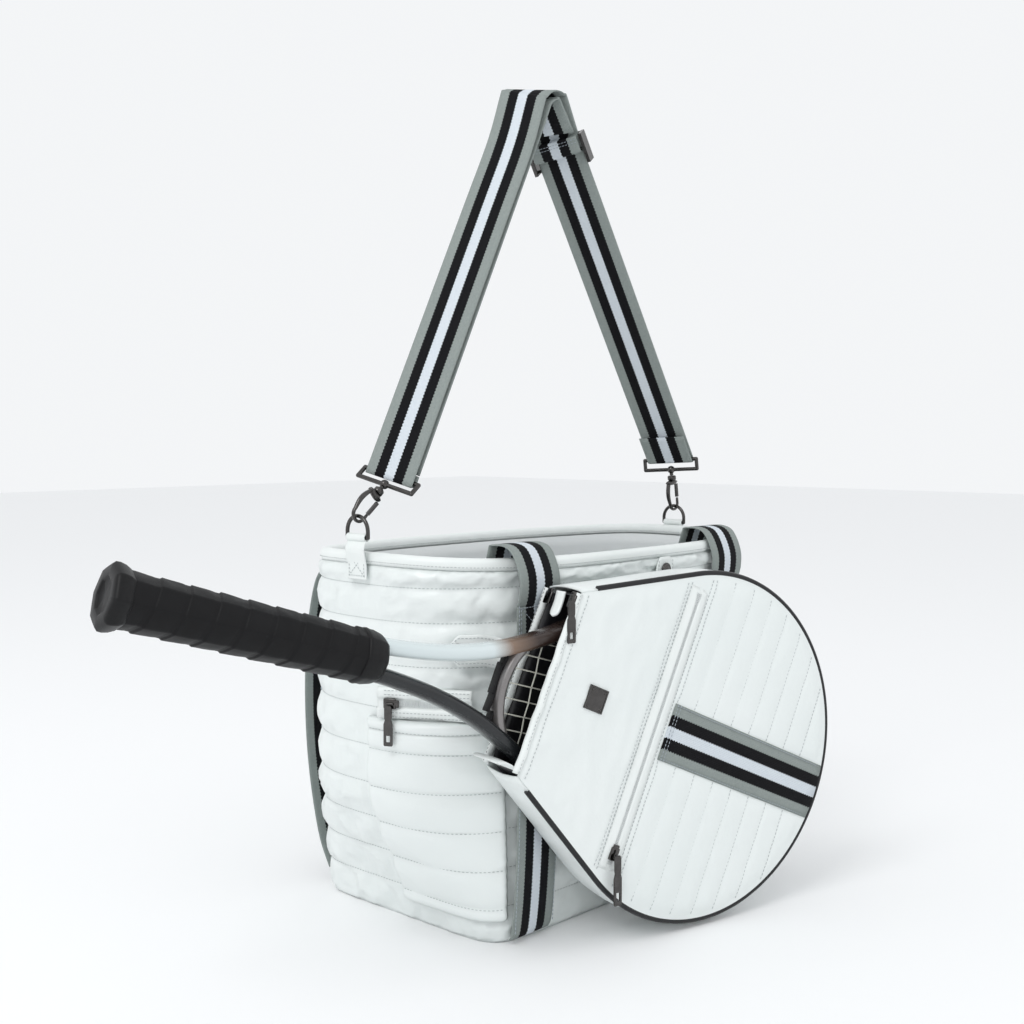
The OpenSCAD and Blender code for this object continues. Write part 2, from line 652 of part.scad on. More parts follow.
butt_drop = head_centre * sin(racket_turn) - 5;
butt_x = -mouth_distance - butt_reach;
module at_racket() {
    at_cover() translate([butt_x, cover_thick / 2, -butt_drop]) rotate([0, -racket_turn, 0]) children();
}
frame_wide = 13;
throat_half = 15;
head_long = racket_length - head_centre;
// Outer half width of the frame at distance s from the butt, below the widest part
function throat_w(s) = throat_half + (head_half - throat_half) * exp(-pow((head_centre - s) / 150, 2));
arms_start = grip_length + 4;
arm_steps = 16;
frame_path = concat(
    [for (k = [0:arm_steps - 1]) let (s = arms_start + (head_centre - arms_start) * k / arm_steps)
        [s, 0, throat_w(s) - frame_wide / 2]],
    [for (k = [0:28]) let (a = 90 - 180 * k / 28)
        [head_centre + (head_long - frame_wide / 2) * cos(a), 0, (head_half - frame_wide / 2) * sin(a)]],
    [for (k = [arm_steps - 1:-1:0]) let (s = arms_start + (head_centre - arms_start) * k / arm_steps)
        [s, 0, -throat_w(s) + frame_wide / 2]]);
module racket_frame() { color([0.85, 0.87, 0.88]) at_racket() oval_tube(frame_path, frame_wide, frame_thick); }
bridge_s = 338;
bridge_dip = 10;
bridge_half = throat_w(bridge_s) - frame_wide - 4;
bridge_path = [for (k = [0:12]) let (t = k / 6 - 1) [bridge_s - bridge_dip * (1 - t * t), 0, t * bridge_half]];
module racket_bridge() { color([0.35, 0.34, 0.34]) at_racket() oval_tube(bridge_path, 9, frame_thick - 4); }
module racket_bumper() {
    path = [for (k = [0:12]) let (t = (k / 6 - 1) * 0.8) [bridge_s - bridge_dip * (1 - t * t) + 6.2, 0, t * bridge_half]];
    color(black) at_racket() oval_tube(path, 1.8, 8);
}
string_r = 0.65;
in_half = head_half - frame_wide - 1;
in_long = head_long - frame_wide - 1;
mains = 16;
crosses = 19;
main_gap = 2 * in_half * 0.9 / mains;
string_low = bridge_s + 8;
function inner_w(s) = s > head_centre ? in_half * sqrt(1 - pow((s - head_centre) / in_long, 2))
    : throat_w(s) - frame_wide - 1;
function main_low(z) = max(string_low, head_centre - 150 * sqrt(-ln(min(1,
    (abs(z) + frame_wide + 2.5 - throat_half) / (head_half - throat_half)))));
module racket_strings() {
    color([0.9, 0.9, 0.85]) at_racket() {
        for (k = [0:mains - 1]) {
            z = (k - (mains - 1) / 2) * main_gap;
            top = head_centre + in_long * sqrt(1 - pow(z / in_half, 2));
            translate([main_low(z), -string_r - 0.05, z]) rotate([0, 90, 0])
                cylinder(r = string_r, h = top - main_low(z), $fn = 16);
        }
        for (k = [1:crosses]) {
            s = string_low + (racket_length - frame_wide - 4 - string_low) * k / (crosses + 1);
            translate([s, string_r + 0.05, -inner_w(s)]) cylinder(r = string_r, h = 2 * inner_w(s), $fn = 16);
        }
    }
}
core_r = grip_diameter / 2 - 4;
cap_long = 14;
module racket_handle_core() {
    color([0.2, 0.2, 0.2]) at_racket() translate([cap_long - 6, 0, 0]) rotate([0, 90, 0])
        cylinder(r = core_r, h = grip_length - cap_long + 2, $fn = 48);
}
module racket_grip() {
    color(black) at_racket() translate([cap_long, 0, 0]) rotate([0, 90, 0]) difference() {
        rotate([0, 0, 22.5]) cylinder(r = grip_diameter / 2 + 1.5, h = grip_length - cap_long - 12, $fn = 8);
        translate([0, 0, -1]) cylinder(r = core_r + 0.1, h = grip_length, $fn = 48);
    }
}
module racket_collar() {
    color(black) at_racket() translate([grip_length - 11.8, 0, 0]) rotate([0, 90, 0]) difference() {
        cylinder(r1 = grip_diameter / 2 + 1.2, r2 = grip_diameter / 2 - 1.5, h = 15, $fn = 64);
        translate([0, 0, -1]) cylinder(r = core_r + 0.1, h = 17, $fn = 48);
    }
}
module racket_butt_cap() {
    color(black) at_racket() rotate([0, 90, 0]) difference() {
        rotate([0, 0, 22.5]) cylinder(r1 = grip_diameter / 2 + 4.5, r2 = grip_diameter / 2 + 2, h = cap_long - 0.1, $fn = 8);
        translate([0, 0, cap_long - 6.1]) cylinder(r = core_r + 0.1, h = 8, $fn = 48);
        translate([0, 0, -1]) cylinder(r = 13, h = 2, $fn = 48);
    }
}

tote_front_panel();
tote_back_panel();
tote_base_panel();
base_board();
tote_lining();
rim_binding();
end_pocket_panel();
end_pocket_zip();
end_zip_slider();
end_zip_pull();
front_web_left();
front_web_right();
handle_riser_left();
handle_riser_right();
front_handle();
back_strap_left();
back_strap_right();
ring_tab_left();
ring_tab_right();
d_ring_left();
d_ring_right();
hook_left();
hook_right();
hook_gate_left();
hook_gate_right();
swivel_loop_left();
swivel_loop_right();
strap_long_run();
strap_doubled_run();
strap_slider();
strap_fold_end();
snap_tab_left();
snap_tab_right();
snap_cap_left();
snap_cap_right();
snap_studs();
cover_front_panel();
cover_back_panel();
cover_gusset();
cover_piping();
mouth_binding_front();
mouth_binding_back();
cover_pocket_zip();
cover_zip_slider();
cover_zip_pull();
mouth_zip_sliders();
mouth_zip_pull();
zip_end_tabs();
cover_web_band();
badge_plate();
badge_rivets();
racket_frame();
racket_bridge();
racket_bumper();
racket_strings();
racket_handle_core();
racket_grip();
racket_collar();
racket_butt_cap();
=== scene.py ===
import json
import math
import bpy
import bmesh
from mathutils import Matrix, Vector, noise


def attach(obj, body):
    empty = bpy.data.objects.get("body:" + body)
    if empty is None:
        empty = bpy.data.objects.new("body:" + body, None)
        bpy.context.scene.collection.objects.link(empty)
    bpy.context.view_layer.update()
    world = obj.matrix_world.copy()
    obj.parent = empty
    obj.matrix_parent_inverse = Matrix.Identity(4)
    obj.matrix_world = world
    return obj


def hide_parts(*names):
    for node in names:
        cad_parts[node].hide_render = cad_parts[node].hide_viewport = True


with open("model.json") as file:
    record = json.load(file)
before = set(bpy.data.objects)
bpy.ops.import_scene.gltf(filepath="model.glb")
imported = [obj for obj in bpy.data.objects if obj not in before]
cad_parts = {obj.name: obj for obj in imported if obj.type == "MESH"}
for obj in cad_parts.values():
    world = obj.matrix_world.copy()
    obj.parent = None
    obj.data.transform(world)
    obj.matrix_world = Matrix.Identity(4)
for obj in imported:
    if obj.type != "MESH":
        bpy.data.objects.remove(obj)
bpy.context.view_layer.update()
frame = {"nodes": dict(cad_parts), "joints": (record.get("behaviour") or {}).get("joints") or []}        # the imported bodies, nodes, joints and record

# ---------------------------------------------------------------- studio
# A seamless pale floor, one broad soft light high on the left, a weaker one on the right, and a
# camera at standing-shot height, a little above the tote's rim, looking level at its left corner.
CAMERA_AT = Vector((-0.968, -0.871, 0.433))
CAMERA_TURN = math.radians(-47.0)
CAMERA_DIP = math.radians(3.5)
LENS_MM = 47.1

camera = bpy.data.objects.new("camera", bpy.data.cameras.new("camera"))
bpy.context.scene.collection.objects.link(camera)
camera.data.lens = LENS_MM
camera.data.sensor_width = 36.0
camera.location = CAMERA_AT
camera.rotation_euler = (math.pi / 2 - CAMERA_DIP, 0.0, CAMERA_TURN)
bpy.context.scene.camera = camera


def soft_light(name, place, aim, size, watts):
    lamp = bpy.data.lights.new(name, "AREA")
    lamp.size = size
    lamp.energy = watts
    holder = bpy.data.objects.new(name, lamp)
    holder.location = place
    holder.rotation_euler = (Vector(aim) - Vector(place)).to_track_quat("-Z", "Y").to_euler()
    bpy.context.scene.collection.objects.link(holder)


soft_light("key", (-2.2, -0.4, 2.6), (0, 0, 0.3), 1.3, 27)
soft_light("fill", (1.4, -2.6, 1.6), (0, 0, 0.3), 2.2, 3)

world = bpy.data.worlds.new("studio")
world.use_nodes = True
world.node_tree.nodes["Background"].inputs["Color"].default_value = (0.97, 0.985, 1.0, 1)
world.node_tree.nodes["Background"].inputs["Strength"].default_value = 0.93
bpy.context.scene.world = world
bpy.context.scene.view_settings.view_transform = "Standard"


class Field:
    """A value or colour over a surface. Arithmetic on values adds Math nodes to the finish."""

    def __init__(self, finish, socket):
        self.finish = finish
        self.socket = socket

    def math(self, operation, *others):
        sockets = dict(enumerate([self, *others]))
        return self.finish.node("ShaderNodeMath", {"operation": operation}, sockets)

    def __add__(self, other):
        return self.math("ADD", other)

    def __radd__(self, other):
        return self.math("ADD", other)

    def __sub__(self, other):
        return self.math("SUBTRACT", other)

    def __rsub__(self, other):
        return self.finish.node("ShaderNodeMath", {"operation": "SUBTRACT"}, {0: other, 1: self})

    def __mul__(self, other):
        return self.math("MULTIPLY", other)

    def __rmul__(self, other):
        return self.math("MULTIPLY", other)

    def __truediv__(self, other):
        return self.math("DIVIDE", other)

    def __rtruediv__(self, other):
        return self.finish.node("ShaderNodeMath", {"operation": "DIVIDE"}, {0: other, 1: self})

    def __neg__(self):
        return self.math("MULTIPLY", -1.0)

    def __lt__(self, other):
        return self.math("LESS_THAN", other)

    def __gt__(self, other):
        return self.math("GREATER_THAN", other)

    def sin(self):
        return self.math("SINE")

    def abs(self):
        return self.math("ABSOLUTE")

    def fract(self):
        return self.math("FRACT")


class Finish:
    """One material: a Principled shader whose even values are set on its own sockets."""

    def __init__(self, name, **even):
        self.material = bpy.data.materials.new(name)
        self.material.use_nodes = True
        self.tree = self.material.node_tree
        self.shader = self.tree.nodes["Principled BSDF"]
        for socket, value in even.items():
            self.shader.inputs[socket.replace("_", " ")].default_value = value

    def node(self, kind, settings=None, sockets=None, out=0):
        made = self.tree.nodes.new(kind)
        for key, value in (settings or {}).items():
            if key == "stops":
                while len(made.color_ramp.elements) < len(value):
                    made.color_ramp.elements.new(1.0)
                for stop, (place, tone) in zip(made.color_ramp.elements, value):
                    stop.position = place
                    stop.color = tone
            else:
                setattr(made, key, value)
        for key, value in (sockets or {}).items():
            if isinstance(value, Field):
                self.tree.links.new(value.socket, made.inputs[key])
            else:
                made.inputs[key].default_value = value
        return Field(self, made.outputs[out])

    def place(self):
        return self.node("ShaderNodeTexCoord", out="Object")

    def uv(self):
        parts = self.tree.nodes.new("ShaderNodeSeparateXYZ")
        texture = self.tree.nodes.new("ShaderNodeTexCoord")
        self.tree.links.new(texture.outputs["UV"], parts.inputs[0])
        return Field(self, parts.outputs[0]), Field(self, parts.outputs[1])

    def noise(self, scale, detail=3.0, at=None, rough=0.5):
        sockets = {"Vector": at or self.place(), "Scale": scale, "Detail": detail, "Roughness": rough}
        return self.node("ShaderNodeTexNoise", None, sockets)

    def blend(self, share, low, high):
        settings = {"data_type": "RGBA"}
        return self.node("ShaderNodeMix", settings, {0: share, 6: low, 7: high}, out=2)

    def ramp(self, value, stops):
        return self.node("ShaderNodeValToRGB", {"stops": stops}, {0: value})

    def feed(self, socket, value):
        self.tree.links.new(value.socket, self.shader.inputs[socket])

    def bump(self, height, distance, strength=1.0):
        sockets = {"Height": height, "Distance": distance, "Strength": strength}
        self.feed("Normal", self.node("ShaderNodeBump", None, sockets))


floor_finish = Finish("studio_floor", Roughness=0.9)
grain = floor_finish.noise(900.0, 2.0)
floor_finish.feed("Base Color", floor_finish.blend(grain, (0.90, 0.905, 0.91, 1), (0.93, 0.935, 0.94, 1)))
bpy.ops.mesh.primitive_plane_add(size=16.0, location=(0, 0, 0))
floor = bpy.context.object
floor.name = "floor"
floor.data.materials.append(floor_finish.material)

# ---------------------------------------------------------------- puffer walls of the tote
# Two layers of coated nylon with wadding between them, sewn through in level rows so that each
# channel swells. One strip goes right round and is seamed down both ends.
BASE_HALF_L, BASE_HALF_D = 0.177, 0.116
RIM_Z, RIM_LIFT = 0.325, 0.004
END_BULGE, FRONT_BULGE = 0.045, 0.012
BINDING_H = 0.010
FOOT_INSET = 0.002
WALL = 0.008
ROWS = (0.032, 0.065, 0.098, 0.131, 0.164, 0.198, 0.236, 0.273, 0.302)
ROUND = 288


def ease(t):
    t = min(1.0, max(0.0, t))
    return t * t * (3 - 2 * t)


def swell_of(z):
    return ease(z / (RIM_Z * 0.45))


def squared(value, power):
    """Sine or cosine flattened towards a square, keeping its sign."""
    return math.copysign(abs(value) ** power, value)


def tote_at(angle, z, inset=0.0):
    """Point on the tote's smooth outside at an angle about its middle, set in by inset."""
    foot = FOOT_INSET * (1 - ease(z / 0.014))
    half_x = BASE_HALF_L - foot + END_BULGE * swell_of(z) - inset
    half_y = BASE_HALF_D - foot + FRONT_BULGE * swell_of(z) * (1 - 0.12 * ease(z / RIM_Z)) - inset
    power = 0.2 + 0.48 * swell_of(z)
    c, s = math.cos(angle), math.sin(angle)
    x = half_x * squared(c, power)
    y = half_y * squared(s, power)
    return Vector((x, y, z))


def rim_at(angle):
    return RIM_Z + RIM_LIFT * abs(math.cos(angle)) ** 4


def even_angles(z, count=ROUND):
    """Angles that step evenly along the outline at height z, starting at the right end seam."""
    quarter = count // 4
    fine = [t / 300 for t in range(301)]
    fine = [math.pi / 2 * t ** 5 / (t ** 5 + (1 - t) ** 5) for t in fine]
    spots = [tote_at(a, z) for a in fine]
    far = [0.0]
    for a, b in zip(spots, spots[1:]):
        far.append(far[-1] + (b - a).length)
    found, j = [], 0
    for i in range(quarter + 1):
        target = far[-1] * i / quarter
        while j < 299 and far[j + 1] < target:
            j += 1
        found.append(fine[j] + (fine[j + 1] - fine[j])
                     * (target - far[j]) / max(1e-12, far[j + 1] - far[j]))
    half = [*found, *[math.pi - a for a in found[-2::-1]]]
    return [*half[:-1], *[math.pi + a for a in half[:-1]]]


ANGLES = even_angles(RIM_Z)


def grid_mesh(name, rows, wrap=False, uvs=None):
    """A mesh of quads over rows of points; wrap joins each row's end to its start."""
    count = len(rows[0])
    cols = count if wrap else count - 1
    faces = [(i * count + j, i * count + (j + 1) % count, (i + 1) * count + (j + 1) % count,
              (i + 1) * count + j)
             for i in range(len(rows) - 1) for j in range(cols)]
    mesh = bpy.data.meshes.new(name)
    mesh.from_pydata([p for row in rows for p in row], [], faces)
    if uvs:
        layer = mesh.uv_layers.new(name="UVMap")
        flat = [uv for row in uvs for uv in row]
        for loop in mesh.loops:
            layer.data[loop.index].uv = flat[loop.vertex_index]
    piece = bpy.data.objects.new(name, mesh)
    bpy.context.scene.collection.objects.link(piece)
    return piece


def tidy(piece, flip=False, smooth=True):
    """Merges doubled points, turns the faces outwards and shades them smooth."""
    work = bmesh.new()
    work.from_mesh(piece.data)
    bmesh.ops.remove_doubles(work, verts=work.verts, dist=1e-6)
    bmesh.ops.dissolve_degenerate(work, edges=work.edges, dist=1e-7)
    bmesh.ops.recalc_face_normals(work, faces=work.faces)
    if flip:
        bmesh.ops.reverse_faces(work, faces=work.faces)
    work.to_mesh(piece.data)
    work.free()
    for face in piece.data.polygons:
        face.use_smooth = smooth
    return piece


def carry(piece, body, slot, *nodes):
    """Hangs a finished piece on its body and takes the place of the plain nodes it stands for."""
    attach(piece, body)
    if nodes:
        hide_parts(*nodes)
    return piece


def place_piece(piece, finish, body, slot, *nodes):
    piece.data.materials.append(finish.material)
    return carry(piece, body, slot, *nodes)


def inflate(piece, held, pressure, slack, cap, frames=14):
    """Cloth under pressure, held at the sewn rows; no point ends further than cap from its start."""
    start = [v.co.copy() for v in piece.data.vertices]
    group = piece.vertex_groups.new(name="sewn")
    group.add(held, 1.0, "REPLACE")
    sim = piece.modifiers.new("fill", "CLOTH")
    cloth = sim.settings
    cloth.quality = 4
    cloth.mass = 0.12
    cloth.use_pressure = True
    cloth.uniform_pressure_force = pressure
    cloth.vertex_group_mass = "sewn"
    cloth.shrink_min = -slack
    cloth.tension_stiffness = 12
    cloth.compression_stiffness = 12
    cloth.bending_stiffness = 0.25
    cloth.effector_weights.gravity = 0.0
    sim.collision_settings.use_collision = False
    sim.point_cache.frame_end = frames
    scene = bpy.context.scene
    for step in range(1, frames + 1):
        scene.frame_set(step)
        bpy.context.view_layer.update()
    moved = piece.evaluated_get(bpy.context.evaluated_depsgraph_get())
    ends = [v.co.copy() for v in moved.data.vertices]
    piece.modifiers.remove(sim)
    scene.frame_set(1)
    for vertex, old, new in zip(piece.data.vertices, start, ends):
        step = new - old
        if step.length > cap:
            step *= cap / step.length
        vertex.co = old + step
    piece.vertex_groups.remove(group)


def channel(z, rows, height):
    """How far a channel stands out between two sewn rows, at height z."""
    below = max([r for r in rows if r <= z], default=rows[0])
    above = min([r for r in rows if r > z], default=rows[-1])
    if above <= below:
        return 0.0
    t = (z - below) / (above - below)
    return height * (4 * t * (1 - t)) ** 0.6


def wall_rows():
    """Heights up the wall, close together, with one exactly at each sewn row."""
    marks = [0.0, *ROWS, None]
    heights, held = [], []
    for low, high in zip(marks, marks[1:]):
        parts = 9 if high is not None else 6
        for k in range(parts):
            heights.append((low, high, k / parts))
            held.append(k == 0)
    heights.append((None, None, 1.0))
    held.append(True)
    return heights, held


HEIGHTS, HELD = wall_rows()


def height_at(spec, angle):
    low, high, t = spec
    top = rim_at(angle) - BINDING_H
    if low is None:
        return top
    high = top if high is None else high
    return low + (high - low) * t


puffer = Finish("puffer_nylon", Roughness=0.33, Coat_Weight=0.10, Coat_Roughness=0.2)
cloud = puffer.noise(9.0, 3.0)
puffer.feed("Base Color", puffer.blend(cloud, (0.76, 0.81, 0.80, 1), (0.83, 0.865, 0.855, 1)))
weave_x, weave_y = puffer.noise(2600.0, 2.0), puffer.noise(70.0, 5.0, rough=0.6)
puffer.bump(weave_y + weave_x * 0.10, 0.0012, 0.35)

CHANNEL_OUT = 0.0026


def crumple(x, y, z, rate, size):
    """Soft creases: sharp-crested ridges that run mostly level."""
    here = noise.noise(Vector((x * rate, y * rate, z * rate * 2.2)))
    fine = noise.noise(Vector((x * rate * 2.6, y * rate * 2.6, z * rate * 4.5 + 7.0)))
    return size * ((1 - abs(here)) ** 3 * 1.2 - 0.5 + 0.35 * fine)


def behind_pocket(spot):
    """True where the left end's outer pocket will hold the wall flat."""
    return spot.x < -0.152 and spot.y < 0.004 and 0.020 < spot.z < 0.222


wall_points = []
for spec in HEIGHTS:
    line = []
    for angle in even_angles(height_at(spec, math.pi / 2)):
        z = height_at(spec, angle)
        rows_here = (0.0, *ROWS, rim_at(angle) - BINDING_H)
        out = channel(z, rows_here, CHANNEL_OUT)
        pinch = 0.35 + 0.65 * min(1.0, abs(math.sin(angle)) ** 0.5 * 1.4)
        spot = tote_at(angle, z)
        if behind_pocket(spot):
            out *= 0.25
        crease = crumple(spot.x, spot.y, z, 11.0, 0.0016) * min(1.0, out / 0.0012)
        line.append(tote_at(angle, z, -out * pinch - crease))
    wall_points.append(line)
tote_wall = grid_mesh("tote_wall", wall_points, wrap=True)
sewn_points = [i * ROUND + j for i, h in enumerate(HELD) for j in range(ROUND)
               if h or j % (ROUND // 2) == 0 or behind_pocket(wall_points[i][j])]
inflate(tote_wall, sewn_points, 2.6, 0.03, 0.0034)
tidy(tote_wall)
shell = tote_wall.modifiers.new("layers", "SOLIDIFY")
shell.thickness = 0.0012
shell.offset = -1
place_piece(tote_wall, puffer, "tote", "puffer_fabric", "tote_front_panel", "tote_back_panel")

# ---------------------------------------------------------------- lining, rim binding, base
# The woven lining hangs just inside the wadded wall and is sewn in at the rim, where a folded
# strip of the shell fabric binds the raw edge. A stiff board lies under it on the base panel.
LINING_INSET = WALL + 0.0016
LINING_FLOOR = 0.0102
LINING_UP = 26

lining_cloth = Finish("lining_cloth", Roughness=0.62, Sheen_Weight=0.15)
tone = lining_cloth.noise(14.0, 3.0)
lining_cloth.feed("Base Color", lining_cloth.blend(tone, (0.70, 0.73, 0.735, 1), (0.80, 0.82, 0.82, 1)))
lining_cloth.bump(lining_cloth.noise(1800.0, 2.0) * 0.2 + lining_cloth.noise(45.0, 4.0), 0.0010, 0.4)

lining_rows = []
for k in range(LINING_UP + 1):
    line = []
    for angle in ANGLES:
        top = rim_at(angle) - BINDING_H
        z = LINING_FLOOR + (top - LINING_FLOOR) * k / LINING_UP
        slack = noise.noise(Vector((angle * 5, z * 22, 8.0))) * 0.0022 * math.sin(math.pi * k / LINING_UP)
        line.append(tote_at(angle, z, LINING_INSET + 0.001 + abs(slack)))
    lining_rows.append(line)
centre_floor = [[Vector((p.x * f, p.y * f, LINING_FLOOR)) for p in lining_rows[0]]
                for f in (0.0, 0.35, 0.7)]
tote_lining = grid_mesh("tote_lining_cloth", centre_floor + lining_rows, wrap=True)
tidy(tote_lining)
layer = tote_lining.modifiers.new("layer", "SOLIDIFY")
layer.thickness = 0.0006
layer.offset = 0
place_piece(tote_lining, lining_cloth, "tote", "lining_fabric", "tote_lining")

trim = Finish("white_trim", Roughness=0.42, Coat_Weight=0.15, Coat_Roughness=0.3)
trim_tone = trim.noise(60.0, 3.0)
trim.feed("Base Color", trim.blend(trim_tone, (0.77, 0.815, 0.80, 1), (0.84, 0.87, 0.86, 1)))
trim.bump(trim.noise(2200.0, 2.0) * 0.3 + trim.noise(160.0, 3.0), 0.0005, 0.35)

# the binding's section, as (distance in from the wall, height share)
BINDING_FOLD = ((-0.0008, -0.02), (-0.0015, 0.22), (-0.0013, 0.62), (0.0002, 0.92), (0.0035, 1.02),
                (0.0070, 0.93), (0.0090, 0.62), (0.0091, 0.25), (0.0084, -0.02), (0.0040, 0.10))
binding_rows = []
for inset, share in BINDING_FOLD:
    line = []
    for angle in ANGLES:
        z = rim_at(angle) - BINDING_H + 0.0004 + BINDING_H * share
        pucker = 0.00035 * math.sin(angle * 190) * min(1.0, abs(share) * 2)
        line.append(tote_at(angle, z, inset - pucker))
    binding_rows.append(line)
binding_rows.append(binding_rows[0])
rim_binding = tidy(grid_mesh("rim_binding_fold", binding_rows, wrap=True))
place_piece(rim_binding, trim, "tote", "white_trim", "rim_binding")

board_finish = Finish("base_board_fibre", Roughness=0.8)
board_finish.feed("Base Color", board_finish.blend(board_finish.noise(300.0, 4.0), (0.05, 0.05, 0.052, 1),
                                                   (0.09, 0.09, 0.092, 1)))


def repaint(finish, *nodes):
    for name in nodes:
        slots = frame["nodes"][name].data.materials
        slots.clear()
        slots.append(finish.material)


repaint(puffer, "tote_base_panel")
repaint(board_finish, "base_board")

# ---------------------------------------------------------------- thread, cord and coil
# Every seam is lockstitched: short lengths of thread, each sunk at its ends. Zip coils, strings
# and piping are the same idea, a small shape repeated along a path or one section swept along it.


def socket_named(tree, name):
    return next(item.identifier for item in tree.interface.items_tree if item.name == name)


def repeat_tree():
    """Small beads set along polylines: Spacing apart, lying along the path or across it."""
    tree = bpy.data.node_groups.new("beads_along", "GeometryNodeTree")
    tree.interface.new_socket("Geometry", in_out="INPUT", socket_type="NodeSocketGeometry")
    for name, kind in (("Spacing", "Float"), ("Long", "Float"), ("Wide", "Float"), ("Lie Across", "Float"),
                       ("Finish", "Material")):
        tree.interface.new_socket(name, in_out="INPUT", socket_type="NodeSocket" + kind)
    tree.interface.new_socket("Geometry", in_out="OUTPUT", socket_type="NodeSocketGeometry")
    new, join = tree.nodes.new, tree.links.new
    given, result = new("NodeGroupInput"), new("NodeGroupOutput")
    path, step = new("GeometryNodeMeshToCurve"), new("GeometryNodeResampleCurve")
    step.mode = "LENGTH"
    tangent, across = new("GeometryNodeInputTangent"), new("GeometryNodeInputNamedAttribute")
    across.data_type = "FLOAT_VECTOR"
    across.inputs["Name"].default_value = "across"
    way = new("ShaderNodeMix")
    way.data_type = "VECTOR"
    turn = new("FunctionNodeAlignRotationToVector")
    turn.axis = "Z"
    bead = new("GeometryNodeMeshUVSphere")
    bead.inputs["Segments"].default_value = 6
    bead.inputs["Rings"].default_value = 4
    bead.inputs["Radius"].default_value = 1.0
    size, spread = new("ShaderNodeCombineXYZ"), new("GeometryNodeInstanceOnPoints")
    real, paint = new("GeometryNodeRealizeInstances"), new("GeometryNodeSetMaterial")
    smooth = new("GeometryNodeSetShadeSmooth")
    join(given.outputs["Geometry"], path.inputs["Mesh"])
    join(path.outputs["Curve"], step.inputs["Curve"])
    join(given.outputs["Spacing"], step.inputs["Length"])
    join(given.outputs["Lie Across"], way.inputs[0])
    join(tangent.outputs[0], way.inputs[4])
    join(across.outputs[0], way.inputs[5])
    join(way.outputs[1], turn.inputs["Vector"])
    for axis in "XY":
        join(given.outputs["Wide"], size.inputs[axis])
    join(given.outputs["Long"], size.inputs["Z"])
    join(step.outputs["Curve"], spread.inputs["Points"])
    join(bead.outputs["Mesh"], spread.inputs["Instance"])
    join(turn.outputs[0], spread.inputs["Rotation"])
    join(size.outputs[0], spread.inputs["Scale"])
    join(spread.outputs[0], real.inputs[0])
    join(real.outputs[0], smooth.inputs[0])
    join(smooth.outputs[0], paint.inputs["Geometry"])
    join(given.outputs["Finish"], paint.inputs["Material"])
    join(paint.outputs[0], result.inputs[0])
    return tree


def sweep_tree():
    """A round section swept along polylines, closed at its ends."""
    tree = bpy.data.node_groups.new("round_sweep", "GeometryNodeTree")
    tree.interface.new_socket("Geometry", in_out="INPUT", socket_type="NodeSocketGeometry")
    for name, kind in (("Radius", "Float"), ("Sides", "Int"), ("Finish", "Material")):
        tree.interface.new_socket(name, in_out="INPUT", socket_type="NodeSocket" + kind)
    tree.interface.new_socket("Geometry", in_out="OUTPUT", socket_type="NodeSocketGeometry")
    new, join = tree.nodes.new, tree.links.new
    given, result = new("NodeGroupInput"), new("NodeGroupOutput")
    path, ring = new("GeometryNodeMeshToCurve"), new("GeometryNodeCurvePrimitiveCircle")
    tube, real, paint = (new("GeometryNodeCurveToMesh"), new("GeometryNodeRealizeInstances"),
                         new("GeometryNodeSetMaterial"))
    smooth = new("GeometryNodeSetShadeSmooth")
    tube.inputs["Fill Caps"].default_value = True
    join(given.outputs["Geometry"], path.inputs["Mesh"])
    join(given.outputs["Sides"], ring.inputs["Resolution"])
    join(given.outputs["Radius"], ring.inputs["Radius"])
    join(path.outputs["Curve"], tube.inputs["Curve"])
    join(ring.outputs["Curve"], tube.inputs["Profile Curve"])
    join(tube.outputs[0], smooth.inputs[0])
    join(smooth.outputs[0], real.inputs[0])
    join(real.outputs[0], paint.inputs["Geometry"])
    join(given.outputs["Finish"], paint.inputs["Material"])
    join(paint.outputs[0], result.inputs[0])
    return tree


BEADS, SWEEP = repeat_tree(), sweep_tree()


def grown(name, tree, paths, across, **given):
    """Runs a tree over polylines and keeps its result as a plain mesh."""
    points, edges = [], []
    for path in paths:
        edges += [(len(points) + k, len(points) + k + 1) for k in range(len(path) - 1)]
        points += [tuple(p) for p in path]
    mesh = bpy.data.meshes.new(name + "_paths")
    mesh.from_pydata(points, edges, [])
    lie = mesh.attributes.new("across", "FLOAT_VECTOR", "POINT")
    for item in lie.data:
        item.vector = across
    piece = bpy.data.objects.new(name, mesh)
    bpy.context.scene.collection.objects.link(piece)
    made = piece.modifiers.new("grow", "NODES")
    made.node_group = tree
    for key, value in given.items():
        made[socket_named(tree, key.replace("_", " "))] = value
    bpy.context.view_layer.update()
    seen = piece.evaluated_get(bpy.context.evaluated_depsgraph_get())
    result = bpy.data.meshes.new_from_object(seen)
    piece.modifiers.remove(made)
    piece.data = result
    if "across" in result.attributes:
        result.attributes.remove(result.attributes["across"])
    return piece


def stitches(name, paths, body, slot, finish, pitch=0.0032, length=0.0025, thread=0.00032):
    piece = grown(name, BEADS, paths, (0, 0, 1), Spacing=pitch, Long=length / 2, Wide=thread,
                  Lie_Across=0.0,
                  Finish=finish.material)
    return carry(piece, body, slot)


def coil(name, paths, across, body, slot, finish, pitch, length, wide):
    piece = grown(name, BEADS, paths, across, Spacing=pitch, Long=length / 2, Wide=wide, Lie_Across=1.0,
                  Finish=finish.material)
    return carry(piece, body, slot)


def swept(name, paths, radius, finish, body, slot, *nodes, sides=10):
    piece = grown(name, SWEEP, paths, (0, 0, 1), Radius=radius, Sides=sides, Finish=finish.material)
    return carry(piece, body, slot, *nodes)


